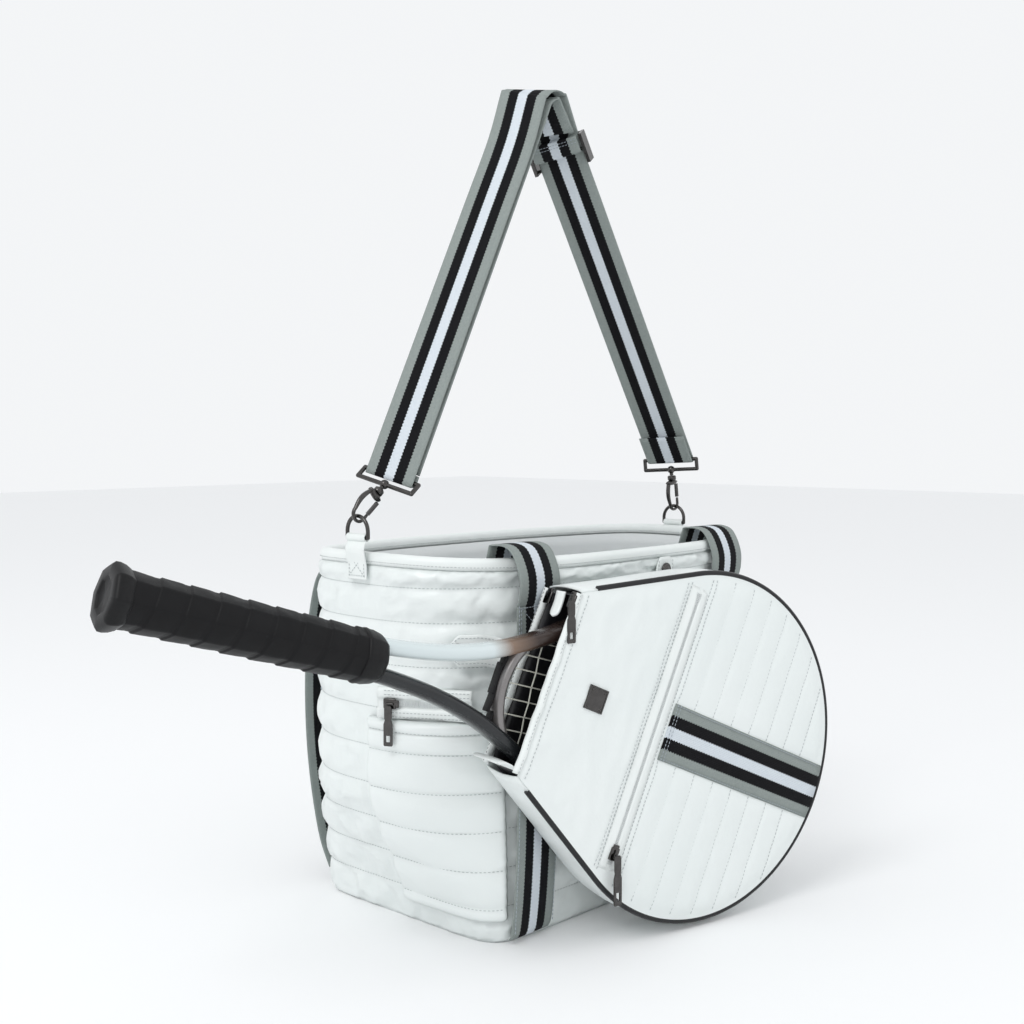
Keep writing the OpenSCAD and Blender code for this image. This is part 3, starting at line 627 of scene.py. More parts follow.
def thread_finish(name, colour):
    made = Finish(name, Roughness=0.6)
    darker = (colour[0] * 0.8, colour[1] * 0.8, colour[2] * 0.8, 1)
    made.feed("Base Color", made.blend(made.noise(700.0, 2.0), darker, (*colour, 1)))
    made.bump(made.noise(3500.0, 1.0), 0.0001, 0.4)
    return made


# white thread whose colour is darkened to a mid grey: painted shade of the thin valleys along the sewn rows
white_thread_painted_shade = thread_finish("white_thread_painted_shade", (0.50, 0.54, 0.54))
grey_thread = thread_finish("grey_thread", (0.42, 0.47, 0.52))
black_thread = thread_finish("black_thread", (0.03, 0.03, 0.035))

row_paths = []
for z in ROWS:
    ring = [tote_at(a, z, -0.0003) for a in even_angles(z)]
    row_paths.append([*ring, ring[0]])
stitches("wall_row_stitches", row_paths, "tote", "puffer_fabric", white_thread_painted_shade, pitch=0.0036, length=0.0026)
rim_paths = []
for inset, share in ((-0.0016, 0.30), (0.0092, 0.34)):
    ring = [tote_at(a, rim_at(a) - BINDING_H * (1 - share), inset) for a in ANGLES]
    rim_paths.append([*ring, ring[0]])
stitches("rim_stitches", rim_paths, "tote", "white_trim", white_thread_painted_shade)

# ---------------------------------------------------------------- end pocket and its zip
# A second quilted skin covers the front half of the left end and is open along its top edge.
# The coil zip above it lies on a straight tape, and runs from the front corner to the end seam.
POCKET_LOW, POCKET_TOP = 0.022, 0.190
POCKET_FROM, POCKET_TO = math.radians(183), math.radians(222)
POCKET_BACK_Y, POCKET_FRONT_X = -0.012, -0.160
POCKET_ROWS = (POCKET_LOW, 0.032, 0.065, 0.098, 0.131, 0.164, 0.181, POCKET_TOP)
POCKET_OUT = 0.0036


def pocket_line(z, count):
    """Angles stepping evenly from the end seam round to the front leg's webbing at height z."""
    ring = [a for a in even_angles(z, 1440) if math.pi <= a <= 1.5 * math.pi]
    ring = [a for a in ring if tote_at(a, z).y <= POCKET_BACK_Y and tote_at(a, z).x <= POCKET_FRONT_X]
    return [ring[round((len(ring) - 1) * k / count)] for k in range(count + 1)]


pocket_points = []
POCKET_COLS = 66
for k in range(73):
    z = POCKET_LOW + (POCKET_TOP - POCKET_LOW) * k / 72
    line = []
    for j, angle in enumerate(pocket_line(z, POCKET_COLS)):
        share = j / POCKET_COLS
        side = min(1.0, 60 * min(share, 1 - share))
        out = channel(z, POCKET_ROWS, 0.0036) * side
        spot = tote_at(angle, z)
        crease = crumple(spot.x, spot.y, z + 0.4, 10.0, 0.0018) * side * min(1.0, out / 0.0012)
        line.append(tote_at(angle, z, -POCKET_OUT * (0.25 + 0.75 * side) - out - crease))
    pocket_points.append(line)
end_pocket = tidy(grid_mesh("end_pocket_skin", pocket_points))
layer = end_pocket.modifiers.new("layers", "SOLIDIFY")
layer.thickness = 0.0016
layer.offset = 1
place_piece(end_pocket, puffer, "tote", "puffer_fabric", "end_pocket_panel")

pocket_seams = [[tote_at(a, z, -POCKET_OUT - 0.0035) for a in pocket_line(z, 60)[2:-2]]
                for z in (0.032, 0.065, 0.098, 0.131, 0.164, 0.181, 0.186)]
stitches("end_pocket_stitches", pocket_seams, "tote", "puffer_fabric", white_thread_painted_shade, pitch=0.0036)

ZIP_Z = POCKET_TOP + 0.015
zip_front = tote_at(POCKET_TO, ZIP_Z)
zip_back = tote_at(POCKET_FROM + math.radians(2), ZIP_Z)
zip_dir = (zip_back - zip_front).normalized()
zip_out = Vector((-zip_dir.y, zip_dir.x, 0))
zip_stand = 0.0005 + max((tote_at(math.radians(a), ZIP_Z + dz) - zip_front).dot(zip_out)
                         for a in range(183, 223) for dz in (-0.013, 0.013))
ZIP_RUN = (zip_back - zip_front).length


def end_zip_at(x, out, z):
    return zip_front + zip_dir * x + zip_out * (zip_stand + out) + Vector((0, 0, z))


# the tape and its two raised, topstitched lips, as (height, stand-off) across the zip
LIPS = ((-0.0135, -0.0012), (-0.0130, 0.0008), (-0.0105, 0.0024), (-0.0060, 0.0026), (-0.0042, 0.0016),
        (-0.0036, 0.0004), (0.0036, 0.0004), (0.0042, 0.0016), (0.0060, 0.0026), (0.0105, 0.0024),
        (0.0130, 0.0008), (0.0135, -0.0012))
tape_points = [[end_zip_at(ZIP_RUN * i / 40, out + 0.0003 * math.sin(i * 1.3 + z * 900), z)
                for z, out in LIPS] for i in range(41)]
end_zip_tape = tidy(grid_mesh("end_zip_lips", tape_points))
layer = end_zip_tape.modifiers.new("layer", "SOLIDIFY")
layer.thickness = 0.0006
layer.offset = -1
place_piece(end_zip_tape, trim, "tote", "white_trim", "end_pocket_zip")
stitches("end_zip_stitches",
         [[end_zip_at(x / 1000, 0.0029, z) for x in range(3, int(ZIP_RUN * 1000) - 3, 4)]
                              for z in (-0.0075, -0.0110, 0.0075, 0.0110)],
         "tote", "white_trim", white_thread_painted_shade)

# the coil is white nylon; its grey colour is painted shade, the dark line between the teeth
coil_painted_shade_finish = Finish("zip_coil_nylon_painted_shade", Roughness=0.35)
coil_painted_shade_finish.feed("Base Color", coil_painted_shade_finish.blend(coil_painted_shade_finish.noise(500.0, 2.0), (0.60, 0.63, 0.63, 1),
                                                 (0.74, 0.77, 0.77, 1)))
coil("end_zip_coil", [[end_zip_at(0.004, 0.0014, 0), end_zip_at(ZIP_RUN - 0.006, 0.0014, 0)]],
     (0, 0, 1), "tote", "white_trim", coil_painted_shade_finish, 0.0014, 0.0058, 0.00055)

# ---------------------------------------------------------------- striped webbing on the tote
# Woven straps 50 mm wide with five equal stripes. The front legs are sewn to the wall, stand free
# over the rim and drop inside as one handle; the back straps are sewn at their two ends.
WEB, WEB_THICK = 0.050, 0.0016
LEG_X = 0.138
STITCH_TOP, WEB_GAP, LEG_PUFF = 0.287, 0.0015, 0.004


def webbing_finish():
    made = Finish("striped_webbing", Roughness=0.7, Specular_IOR_Level=0.12)
    across, along = made.uv()
    zigzag = ((along * 16.0).fract() - 0.5).abs()
    lane = (across * 5.0 + zigzag * 0.22 - 0.055).math("FLOOR")
    centre = (lane - 2.0).abs()
    black_lane = (centre - 1.0).abs() < 0.5
    white_lane = centre < 0.5
    grey = made.blend(made.noise(500.0, 2.0), (0.25, 0.285, 0.275, 1), (0.33, 0.365, 0.35, 1))
    pale = made.blend(made.noise(500.0, 2.0), (0.62, 0.68, 0.74, 1), (0.74, 0.79, 0.83, 1))
    dark = made.blend(made.noise(500.0, 2.0), (0.003, 0.003, 0.004, 1), (0.008, 0.008, 0.010, 1))
    made.feed("Base Color", made.blend(black_lane, made.blend(white_lane, grey, pale), dark))
    weft = (across * 110.0).math("FLOOR") * 1.57
    ribs = (across * 220.0).sin() * 0.5 + (along * 190.0 + weft).sin() * 0.5
    made.bump(ribs, 0.0004, 0.55)
    return made


striped = webbing_finish()


def smooth_path(points, sides, per_span):
    """Points and side directions of a strip, eased between the given ones."""
    out_points, out_sides = [], []
    last = len(points) - 1
    for i in range(last):
        p0, p1, p2, p3 = (points[max(0, i - 1)], points[i], points[i + 1], points[min(last, i + 2)])
        for k in range(per_span):
            t = k / per_span
            a = (2 * p1 + (p2 - p0) * t + (2 * p0 - 5 * p1 + 4 * p2 - p3) * t * t
                 + (3 * p1 - p0 - 3 * p2 + p3) * t ** 3) * 0.5
            out_points.append(a)
            out_sides.append(sides[i].lerp(sides[i + 1], t).normalized())
    return [*out_points, points[last].copy()], [*out_sides, sides[last].normalized()]


def band(name, points, sides, finish, body, slot, *nodes, width=WEB, thick=WEB_THICK, per_span=6,
         start=0.0, cup=0.0, taper=None):
    """Strip with rounded edges. UV x runs across it, y along it in strip widths; taper narrows it."""
    line, side_line = smooth_path([Vector(p) for p in points], [Vector(s) for s in sides], per_span)
    section = [(t, s) for s in (1, -1) for t in ((-1, -0.93, -0.6, -0.2, 0.2, 0.6, 0.93, 1)[::s])]
    rows, uvs, run = [], [], start
    last = len(line) - 1
    for i, (p, side) in enumerate(zip(line, side_line)):
        ahead = (line[min(last, i + 1)] - line[max(0, i - 1)]).normalized()
        out = ahead.cross(side).normalized()
        if i:
            run += (p - line[i - 1]).length
        row, uv = [], []
        for t, s in section:
            edge = 0.35 if abs(t) > 0.95 else 1.0
            bow = cup * (1 - t * t)
            half = width / 2 * (taper(i / last) if taper else 1.0)
            row.append(p + side * (t * half) + out * (s * thick / 2 * edge + bow))
            uv.append((0.5 + t / 2, run / width))
        rows.append([*row, row[0]])
        uvs.append([*uv, uv[0]])
    for end in (0, -1):
        middle, side = line[end], side_line[end]
        flat = [middle + side * (p - middle).dot(side) for p in rows[end]]
        rows.insert(0 if end == 0 else len(rows), flat)
        uvs.insert(0 if end == 0 else len(uvs), list(uvs[end]))
    piece = grid_mesh(name, rows, uvs=uvs)
    tidy(piece)
    place_piece(piece, finish, body, slot, *nodes)
    return line


def face_y(x, z):
    swell = swell_of(z)
    half_x = BASE_HALF_L - FOOT_INSET * (1 - ease(z / 0.014)) + END_BULGE * swell
    half_y = (BASE_HALF_D - FOOT_INSET * (1 - ease(z / 0.014))
              + FRONT_BULGE * swell * (1 - 0.12 * ease(z / RIM_Z)))
    power = 0.2 + 0.48 * swell
    return half_y * (1 - min(1.0, abs(x) / half_x) ** (2 / power)) ** (power / 2)


def web_y(x, z):
    """How far out webbing centred on x has to stand to clear the wall at height z."""
    return WEB_GAP + max(face_y(abs(x) - WEB / 2, z), face_y(x, z))


FRONT_HEIGHTS = (0.004, 0.012, 0.040, 0.080, 0.120, 0.160, 0.200, 0.240, 0.265, STITCH_TOP)
ACROSS_X = Vector((1, 0, 0))
CREST_Z = RIM_Z + 0.012
FRONT_Y = -web_y(LEG_X, STITCH_TOP)
HANG_Y = FRONT_Y + 0.028
for side, word in ((-1, "left"), (1, "right")):
    x = side * LEG_X
    sewn = [(x, -web_y(x, z) - 0.0042 * min(1.0, z / 0.02), z) for z in FRONT_HEIGHTS]
    riser = [(x, FRONT_Y - 0.0042, STITCH_TOP + 0.0005),
             (x, FRONT_Y - 0.0048 - LEG_PUFF / 2, STITCH_TOP + 0.010),
             (x, FRONT_Y - LEG_PUFF - 0.003, STITCH_TOP + 0.024), (x, FRONT_Y - LEG_PUFF / 2, RIM_Z),
             (x, FRONT_Y + 0.005, CREST_Z - 0.003), (x, FRONT_Y + 0.015, CREST_Z),
             (x, HANG_Y - 0.001, CREST_Z - 0.0005)]
    band("front_webbing_" + word, sewn, [ACROSS_X] * len(sewn), striped, "tote", "striped_webbing",
         "front_web_" + word)
    band("riser_webbing_" + word, riser, [ACROSS_X] * len(riser), striped, "tote", "striped_webbing",
         "handle_riser_" + word, start=0.29)
    back_heights = (0.014, 0.040, 0.080, 0.120, 0.160, 0.200, 0.235, 0.265, 0.290, 0.306)
    back = [(x, web_y(x, z) + 0.030 * math.sin(math.pi * i / 9) ** 0.8 + 0.002, z)
            for i, z in enumerate(back_heights)]
    band("back_strap_webbing_" + word, back, [ACROSS_X] * len(back), striped, "tote", "striped_webbing",
         "back_strap_" + word, cup=0.0015)

HANDLE_DROP, HANDLE_STEPS = 0.190, 24
handle_points, handle_sides = [], []
for i in range(HANDLE_STEPS + 1):
    t = i / HANDLE_STEPS
    arc = math.sin(math.pi * t)
    x = (LEG_X - 0.012 * arc) * math.cos(math.pi + math.pi * t)
    dip = HANDLE_DROP * max(0.0, arc) ** 0.62
    handle_points.append((x, HANG_Y + 0.016 * ease(dip / 0.060), CREST_Z - 0.0005 - dip))
    turned = math.radians(90 * ease(arc * 1.3 - 0.2))
    handle_sides.append(((1 if t < 0.5 else -1) * math.cos(turned), math.sin(turned), 0))
band("front_handle_webbing", handle_points, handle_sides, striped, "handle", "striped_webbing",
     "front_handle", per_span=4, start=0.35)

# the box of stitches at the top of each front leg: a line, a cross and a bar under it
BOX_TOP, BOX_LOW = 0.286, 0.249
boxes = []
for side in (-1, 1):
    x0, x1 = side * LEG_X - 0.021, side * LEG_X + 0.021

    def on_web(x, z):
        return Vector((x, -web_y(side * LEG_X, z) - 0.0054, z))

    corners = [(x0, BOX_TOP), (x1, BOX_TOP), (x1, BOX_LOW), (x0, BOX_LOW), (x0, BOX_TOP), (x1, BOX_LOW)]
    boxes.append([on_web(*c) for c in corners])
    boxes.append([on_web(x0, BOX_LOW), on_web(x1, BOX_TOP)])
    for edge in (-0.0235, 0.0235):
        boxes.append([on_web(side * LEG_X + edge, z) for z in FRONT_HEIGHTS[1:]])
stitches("front_webbing_stitches", boxes, "tote", "striped_webbing", grey_thread,
         pitch=0.0036, length=0.0028, thread=0.0004)
back_boxes = []
for side in (-1, 1):
    for low, high in ((0.020, 0.046), (0.280, 0.302)):
        x0, x1 = side * LEG_X - 0.020, side * LEG_X + 0.020
        y0, y1 = (web_y(LEG_X, z) + 0.030 * math.sin(math.pi * t) ** 0.8 + 0.0032 for z, t in
                  ((low, 0.02 if low < 0.1 else 0.86), (high, 0.13 if low < 0.1 else 0.985)))
        ring = [(x0, y0, low), (x1, y0, low), (x1, y1, high), (x0, y1, high), (x0, y0, low), (x1, y1, high)]
        back_boxes += [[Vector(p) for p in ring], [Vector((x1, y0, low)), Vector((x0, y1, high))]]
stitches("back_strap_stitches", back_boxes, "tote", "striped_webbing", grey_thread,
         pitch=0.0036, length=0.0028)

# ---------------------------------------------------------------- metalwork of the strap chain
# Dark plated zinc and steel wire: a D-ring sewn to each end of the rim, a lobster-clasp hook on
# it with a sprung gate, and a swivelling wire loop that the shoulder strap is threaded through.
gunmetal = Finish("gunmetal_plating", Metallic=1.0, Coat_Weight=0.3, Coat_Roughness=0.08)
patch = gunmetal.noise(240.0, 4.0)
gunmetal.feed("Base Color", gunmetal.blend(patch, (0.050, 0.047, 0.046, 1), (0.10, 0.095, 0.092, 1)))
gunmetal.feed("Roughness", patch * 0.14 + 0.14)
gunmetal.bump(gunmetal.noise(900.0, 2.0), 0.00004, 0.3)
repaint(gunmetal, "d_ring_left", "d_ring_right", "hook_gate_left", "hook_gate_right", "swivel_loop_left",
        "swivel_loop_right", "strap_slider", "snap_studs")

RING_X, RING_Z, RING_DROP, RING_TALL, WIRE = 0.2265, 0.342, 0.010, 0.020, 0.0035
LEAN = {-1: math.radians(50), 1: math.radians(-8)}
STRAP_TWIST = math.radians(20)


def chain_foot(side):
    return Vector((side * RING_X, 0, RING_Z - (RING_DROP if side > 0 else 0) + RING_TALL - WIRE / 2))


def lean(side):
    return Matrix.Rotation(LEAN[side], 3, "Y")


def turned_solid(name, profile, place, turn, steps=40):
    """A closed turned shape about local Z from (radius, height) points, placed in the frame."""
    rows = [[place + turn @ Vector((r * math.cos(2 * math.pi * j / steps),
                                    r * math.sin(2 * math.pi * j / steps), h))
             for j in range(steps)] for r, h in profile]
    return tidy(grid_mesh(name, rows, wrap=True))


def merged(name, parts, finish, body, slot, *nodes):
    """Joins finished shapes of one real piece into one mesh that rides on a body."""
    work = bmesh.new()
    for part in parts:
        work.from_mesh(part.data)
        bpy.data.objects.remove(part)
    mesh = bpy.data.meshes.new(name)
    work.to_mesh(mesh)
    work.free()
    piece = bpy.data.objects.new(name, mesh)
    bpy.context.scene.collection.objects.link(piece)
    for face in mesh.polygons:
        face.use_smooth = True
    return place_piece(piece, finish, body, slot, *nodes)


def rounded_block(size, bevel, matrix, segments=3):
    """A rounded block of the given size, centred, then placed by a matrix."""
    work = bmesh.new()
    bmesh.ops.create_cube(work, size=1.0)
    bmesh.ops.scale(work, vec=size, verts=work.verts)
    bmesh.ops.bevel(work, geom=work.edges[:] + work.verts[:], offset=bevel, segments=segments, profile=0.5,
                    affect="EDGES")
    bmesh.ops.transform(work, matrix=matrix, verts=work.verts)
    mesh = bpy.data.meshes.new("block")
    work.to_mesh(mesh)
    work.free()
    piece = bpy.data.objects.new("block", mesh)
    bpy.context.scene.collection.objects.link(piece)
    return piece


def oval_sweep(name, path, normals, radii, sides=16):
    """A closed bar of oval section; radii gives (in plane, across) at each path point."""
    rows = []
    last = len(path) - 1
    for i, (p, out) in enumerate(zip(path, normals)):
        ahead = (path[min(last, i + 1)] - path[max(0, i - 1)]).normalized()
        flat = ahead.cross(out).normalized()
        a, b = radii[i]
        rows.append([p + flat * (a * math.cos(2 * math.pi * k / sides)) + out
                     * (b * math.sin(2 * math.pi * k / sides))
                     for k in range(sides)])
    rows = [[path[0].copy()] * sides, *rows, [path[last].copy()] * sides]
    return tidy(grid_mesh(name, rows, wrap=True))


HOOK_WIRE_R, CHAIN_GAP, LEG_TOP = 0.0017, 0.0005, 0.025
BIGHT = 0.0066
BIGHT_Z = BIGHT - HOOK_WIRE_R - WIRE / 2 - CHAIN_GAP
BARREL = ((0, 0.0284), (0.0040, 0.0284), (0.0046, 0.0292), (0.0046, 0.0326), (0.0038, 0.0334), (0, 0.0334))
for side, word in ((-1, "left"), (1, "right")):
    foot, turn = chain_foot(side), lean(side)
    curve, radii = [], []
    for k in range(49):
        t = k / 48
        if t < 0.5:
            z = LEG_TOP - (LEG_TOP - BIGHT_Z) * t / 0.5
            bow = 0.0022 * math.sin(math.pi * t / 0.5)
            curve.append(Vector((-BIGHT - bow, 0, z)))
        else:
            a = math.pi * (1 + (t - 0.5) / 0.5)
            curve.append(Vector((BIGHT * math.cos(a), 0, BIGHT_Z + BIGHT * math.sin(a))))
        radii.append((0.0015 + 0.0008 * math.sin(math.pi * min(1.0, t * 2.0)), 0.0015 + 0.0010 * (1 - t)))
    curve += [Vector((BIGHT, 0, BIGHT_Z + 0.0028)), Vector((BIGHT, 0, 0.0080))]
    radii += [(0.0015, 0.0015), (0.0013, 0.0013)]
    across = [turn @ Vector((0, 1, 0))] * len(curve)
    claw = oval_sweep("claw", [foot + turn @ p for p in curve], across, radii)
    neck_path = [foot + turn @ Vector((x, 0, 0.0260)) for x in (-0.0082, -0.0040, 0.0, 0.0036, 0.0064)]
    neck = oval_sweep("neck", neck_path, across[:5], [(0.0016, 0.0024), (0.0028, 0.0030), (0.0031, 0.0032),
                                                      (0.0028, 0.0030), (0.0016, 0.0024)])
    barrel = turned_solid("barrel", BARREL, foot, turn)
    merged("lobster_hook_" + word, [claw, neck, barrel], gunmetal, word + "_hook", "gunmetal",
           "hook_" + word)

for side, word in ((-1, "left"), (1, "right")):
    x = side * RING_X
    base_z = RING_Z - (RING_DROP if side > 0 else 0)
    roll = WIRE / 2 + 0.0012
    wrap = [(x + side * roll * math.sin(math.radians(a)), 0, base_z + roll * math.cos(math.radians(a)))
            for a in range(-160, 161, 20)]
    outer = [(x + side * 0.0036, 0, base_z - 0.010), (x + side * 0.0010, 0, base_z - 0.022),
             (x + side * 0.0006, 0, base_z - 0.030), (x + side * 0.0006, 0, base_z - 0.036)]
    points = [*wrap, *outer]
    band("ring_tab_fold_" + word, points, [(0, side, 0)] * len(points), trim, "tote", "white_trim",
         "ring_tab_" + word, width=0.024, thick=0.0014, per_span=3)
    left_edge, right_edge, high, low = -0.0095, 0.0095, -0.015, -0.0325
    marks = [(left_edge, high), (right_edge, high), (right_edge, low), (left_edge, low), (left_edge, high),
             (right_edge, low)]

    def on_tab(y, dz):
        return Vector((x + side * 0.0017, y, base_z + dz))

    stitches("ring_tab_stitches_" + word, [[on_tab(*m) for m in marks],
                                           [on_tab(left_edge, low), on_tab(right_edge, high)]],
             "tote", "white_trim", white_thread_painted_shade, pitch=0.0030, length=0.0022)

# ---------------------------------------------------------------- shoulder strap
# One length of the same webbing. It is doubled round the left loop, runs up and over, passes
# through a three-bar slider on the right leg, and is folded and sewn round the right loop.
LOOP_HIGH, LOOP_R = 0.051, 0.002
WRAP_R = LOOP_R + 0.0003 + WEB_THICK / 2
STRAP_TOP = Vector((-0.004, 0, 0.761))
TOP_ROUND = 0.014


def bar_at(side):
    return chain_foot(side) + lean(side) @ Vector((0, 0, LOOP_HIGH))


def bar_side(side):
    return lean(side) @ Vector((math.sin(STRAP_TWIST), -math.cos(STRAP_TWIST), 0))


bar_left, bar_right, side_left, side_right = bar_at(-1), bar_at(1), bar_side(-1), bar_side(1)
up_left, up_right = (STRAP_TOP - bar_left).normalized(), (STRAP_TOP - bar_right).normalized()
out_left, out_right = side_left.cross(up_left).normalized(), up_right.cross(side_right).normalized()
down_left, down_right = side_left.cross(out_left), out_right.cross(side_right)
left_length, right_length = (STRAP_TOP - bar_left).length, (STRAP_TOP - bar_right).length
angle_right = math.atan2(up_right.z, up_right.x) - math.pi / 2
angle_left = math.atan2(up_left.z, up_left.x) + math.pi / 2
bend_at = STRAP_TOP - Vector((0, 0, TOP_ROUND * 1.6))


def round_bar(centre, out, down, angles):
    return [centre + (out * math.cos(math.radians(a)) + down * math.sin(math.radians(a))) * WRAP_R
            for a in angles]


def over_top(off, ks):
    found = []
    for k in ks:
        a = angle_right + (angle_left - angle_right) * k / 8
        found.append(bend_at + Vector((math.cos(a), 0, math.sin(a))) * (TOP_ROUND + off))
    return found


right_part = [bar_right + up_right * along - out_right * WRAP_R for along in (0.030, 0.006)]
right_part += round_bar(bar_right, out_right, down_right, range(180, -1, -30))
right_part += [bar_right + up_right * (right_length * k / 7.2) + out_right * WRAP_R for k in range(1, 7)]
left_part = [bar_left + up_left * (left_length * k / 6) + out_left * WRAP_R for k in range(5, 0, -1)]
left_part += round_bar(bar_left, out_left, down_left, range(0, 181, 30))
left_part.append(bar_left + up_left * 0.008 - out_left * WRAP_R)
top_sides = [side_right.lerp(side_left, k / 8) for k in range(9)]
band("strap_long_webbing", right_part + over_top(WRAP_R, range(9)) + left_part,
     [side_right] * len(right_part) + top_sides + [side_left] * len(left_part), striped, "shoulder_strap",
     "striped_webbing", "strap_long_run", per_span=4)

SLIDER_BACK = 0.070
slider_at = STRAP_TOP - up_right * SLIDER_BACK + out_right * WRAP_R
leg = [bar_left + up_left * (0.009 + (left_length * 0.88 - 0.009) * k / 5) - out_left * WRAP_R
       for k in range(6)]
turning = range(7, 1, -1)
doubled = [*leg, *over_top(-WRAP_R - 0.002, turning),
           STRAP_TOP - up_right * (SLIDER_BACK - 0.021) - out_right * (WRAP_R + 0.002)]
band("strap_doubled_webbing", doubled, [side_left] * len(leg) + [top_sides[k] for k in turning]
     + [side_right],
     striped, "shoulder_strap", "striped_webbing", "strap_doubled_run", per_span=4)

slider_y = (up_right * up_right.dot(side_right) - side_right).normalized()
slider_x = slider_y.cross(up_right)
FOLD_R = 0.0016 + 0.0003 + WEB_THICK / 2
BAR_IN = WEB_THICK + 0.0010 + FOLD_R
fold = [(-FOLD_R, 0.014)]
fold += [(FOLD_R * math.cos(math.radians(a)), -FOLD_R * math.sin(math.radians(a)))
         for a in range(180, -1, -30)]
fold.append((FOLD_R, 0.014))
fold_points = [slider_at + slider_x * (x - BAR_IN) + up_right * z for x, z in fold]
band("strap_fold_webbing", fold_points, [slider_y] * len(fold), striped, "adjuster", "striped_webbing",
     "strap_fold_end", per_span=4)


def across_strap(centre, side, lift):
    return [centre + lift + side * (t * 0.0225) for t in (-1, -0.5, 0, 0.5, 1)]


fold_face = slider_x * (-FOLD_R - WEB_THICK / 2 - BAR_IN - 0.0002)
stitches("strap_fold_stitches", [across_strap(slider_at + up_right * dz, slider_y, fold_face)
                                 for dz in (0.008, 0.011)], "adjuster", "striped_webbing", grey_thread)
low_face = out_right * (WRAP_R + WEB_THICK / 2 + 0.0002)
stitches("strap_end_stitches", [across_strap(bar_right + up_right * dz, side_right, low_face)
                                for dz in (0.009, 0.012, 0.027)], "shoulder_strap", "striped_webbing",
         grey_thread)

# ---------------------------------------------------------------- racket cover
# A flat teardrop case of the same coated nylon: two wadded panels, a gusset round the edge, black
# piping in the front seam and a black satin lining. It is open at its mouth.
COVER_AT = Vector((-0.013, -0.209, 0.158))
COVER_R, MOUTH_X, MOUTH_HALF, COVER_THICK = 0.150, -0.180, 0.077, 0.046
COVER_TILT, COVER_YAW = math.radians(24), math.radians(13)
COVER_TURN = Matrix.Rotation(-COVER_YAW, 3, "Z") @ Matrix.Rotation(COVER_TILT, 3, "Y")
SIDE_ANGLE = math.atan2(MOUTH_HALF, MOUTH_X) - math.acos(COVER_R / math.hypot(MOUTH_X, MOUTH_HALF))


def on_cover(x, y, z):
    """A place in the cover's own frame: x along it to the round end, z up across it, y to the tote."""
    return COVER_AT + COVER_TURN @ Vector((x, y, z))


def cover_half(x, inset=0.0):
    radius = COVER_R - inset
    if x > radius * math.cos(SIDE_ANGLE):
        return math.sqrt(max(0.0, radius * radius - x * x))
    return (radius - x * math.cos(SIDE_ANGLE)) / math.sin(SIDE_ANGLE)


POCKET_ZIP_X, TAPE_HALF, BAND_HALF = -0.062, 0.013, WEB / 2
RIB = 0.0235
FRONT_ROWS, FRONT_COLS = 64, 150


def rim_share(x, z):
    """How near the outline a point of a panel is: 0 on the seam, 1 well inside."""
    inside = min(COVER_R - math.hypot(x, z) if x > 0 else (cover_half(x) - abs(z)) * 0.9,
                 x - MOUTH_X + 0.004)
    return min(1.0, max(0.0, inside / 0.014))


def front_relief(x, z):
    """How far the front panel stands proud: ribs outside the zip, soft folds inside it."""
    rim = ease(rim_share(x, z))
    folds = crumple(x, 3.0, z * 0.25, 42.0, 0.0009)
    if x > POCKET_ZIP_X + TAPE_HALF:
        t = ((x - POCKET_ZIP_X - TAPE_HALF) / RIB) % 1.0
        clear = min(1.0, max(0.0, (abs(z) - BAND_HALF - 0.001) / 0.006))
        rib = 0.0016 * (4 * t * (1 - t)) ** 0.55
        return rim * (0.0004 + clear * (rib + 0.5 * folds + 0.0003))
    if x > POCKET_ZIP_X - TAPE_HALF:
        return rim * 0.0003
    return rim * (0.0013 + folds * 1.3)


front_points = []
for i in range(FRONT_COLS + 1):
    share = i / FRONT_COLS
    x = MOUTH_X + (COVER_R - MOUTH_X) * math.sin(share * math.pi / 2) ** 0.92
    x = min(x, COVER_R - 0.00001)
    half = cover_half(x)
    line = []
    for k in range(-FRONT_ROWS // 2, FRONT_ROWS // 2 + 1):
        z = half * math.sin(math.pi * k / FRONT_ROWS)
        line.append(on_cover(x, 0.0005 - front_relief(x, z), z))
    front_points.append(line)
cover_front = grid_mesh("cover_front_skin", front_points)
tidy(cover_front)
layer = cover_front.modifiers.new("layers", "SOLIDIFY")
layer.thickness = 0.0016
layer.offset = 0
place_piece(cover_front, puffer, "cover", "puffer_fabric", "cover_front_panel")

back_points = []
for i in range(97):
    share = i / 96
    x = min(MOUTH_X + (COVER_R - MOUTH_X) * math.sin(share * math.pi / 2), COVER_R - 0.00001)
    half = cover_half(x)
    line = []
    for k in range(-24, 25):
        z = half * math.sin(math.pi * k / 48)
        t = ((x - MOUTH_X) / 0.033) % 1.0
        puff = 0.0012 * (4 * t * (1 - t)) ** 0.55 * ease(rim_share(x, z))
        line.append(on_cover(x, COVER_THICK - 0.0005 + puff, z))
    back_points.append(line)
cover_back = tidy(grid_mesh("cover_back_skin", back_points))
layer = cover_back.modifiers.new("layers", "SOLIDIFY")
layer.thickness = 0.0016
layer.offset = 0
place_piece(cover_back, puffer, "cover", "puffer_fabric", "cover_back_panel")


def outline(offset, start_x=MOUTH_X, steps=96):
    """Points round the cover's edge in its own plane, from the lower mouth corner to the upper one."""
    radius = COVER_R + offset

    def side_at(x):
        return (radius - x * math.cos(SIDE_ANGLE)) / math.sin(SIDE_ANGLE)

    tangent_x, tangent_z = radius * math.cos(SIDE_ANGLE), radius * math.sin(SIDE_ANGLE)
    straight = [(start_x + (tangent_x - start_x) * k / 14, side_at(start_x)
                 + (tangent_z - side_at(start_x)) * k / 14) for k in range(14)]
    arc = [(radius * math.cos(SIDE_ANGLE * (1 - 2 * k / steps)),
            radius * math.sin(SIDE_ANGLE * (1 - 2 * k / steps)))
           for k in range(steps + 1)]
    top = straight + arc + [(x, -z) for x, z in straight[::-1]]
    return top[::-1]


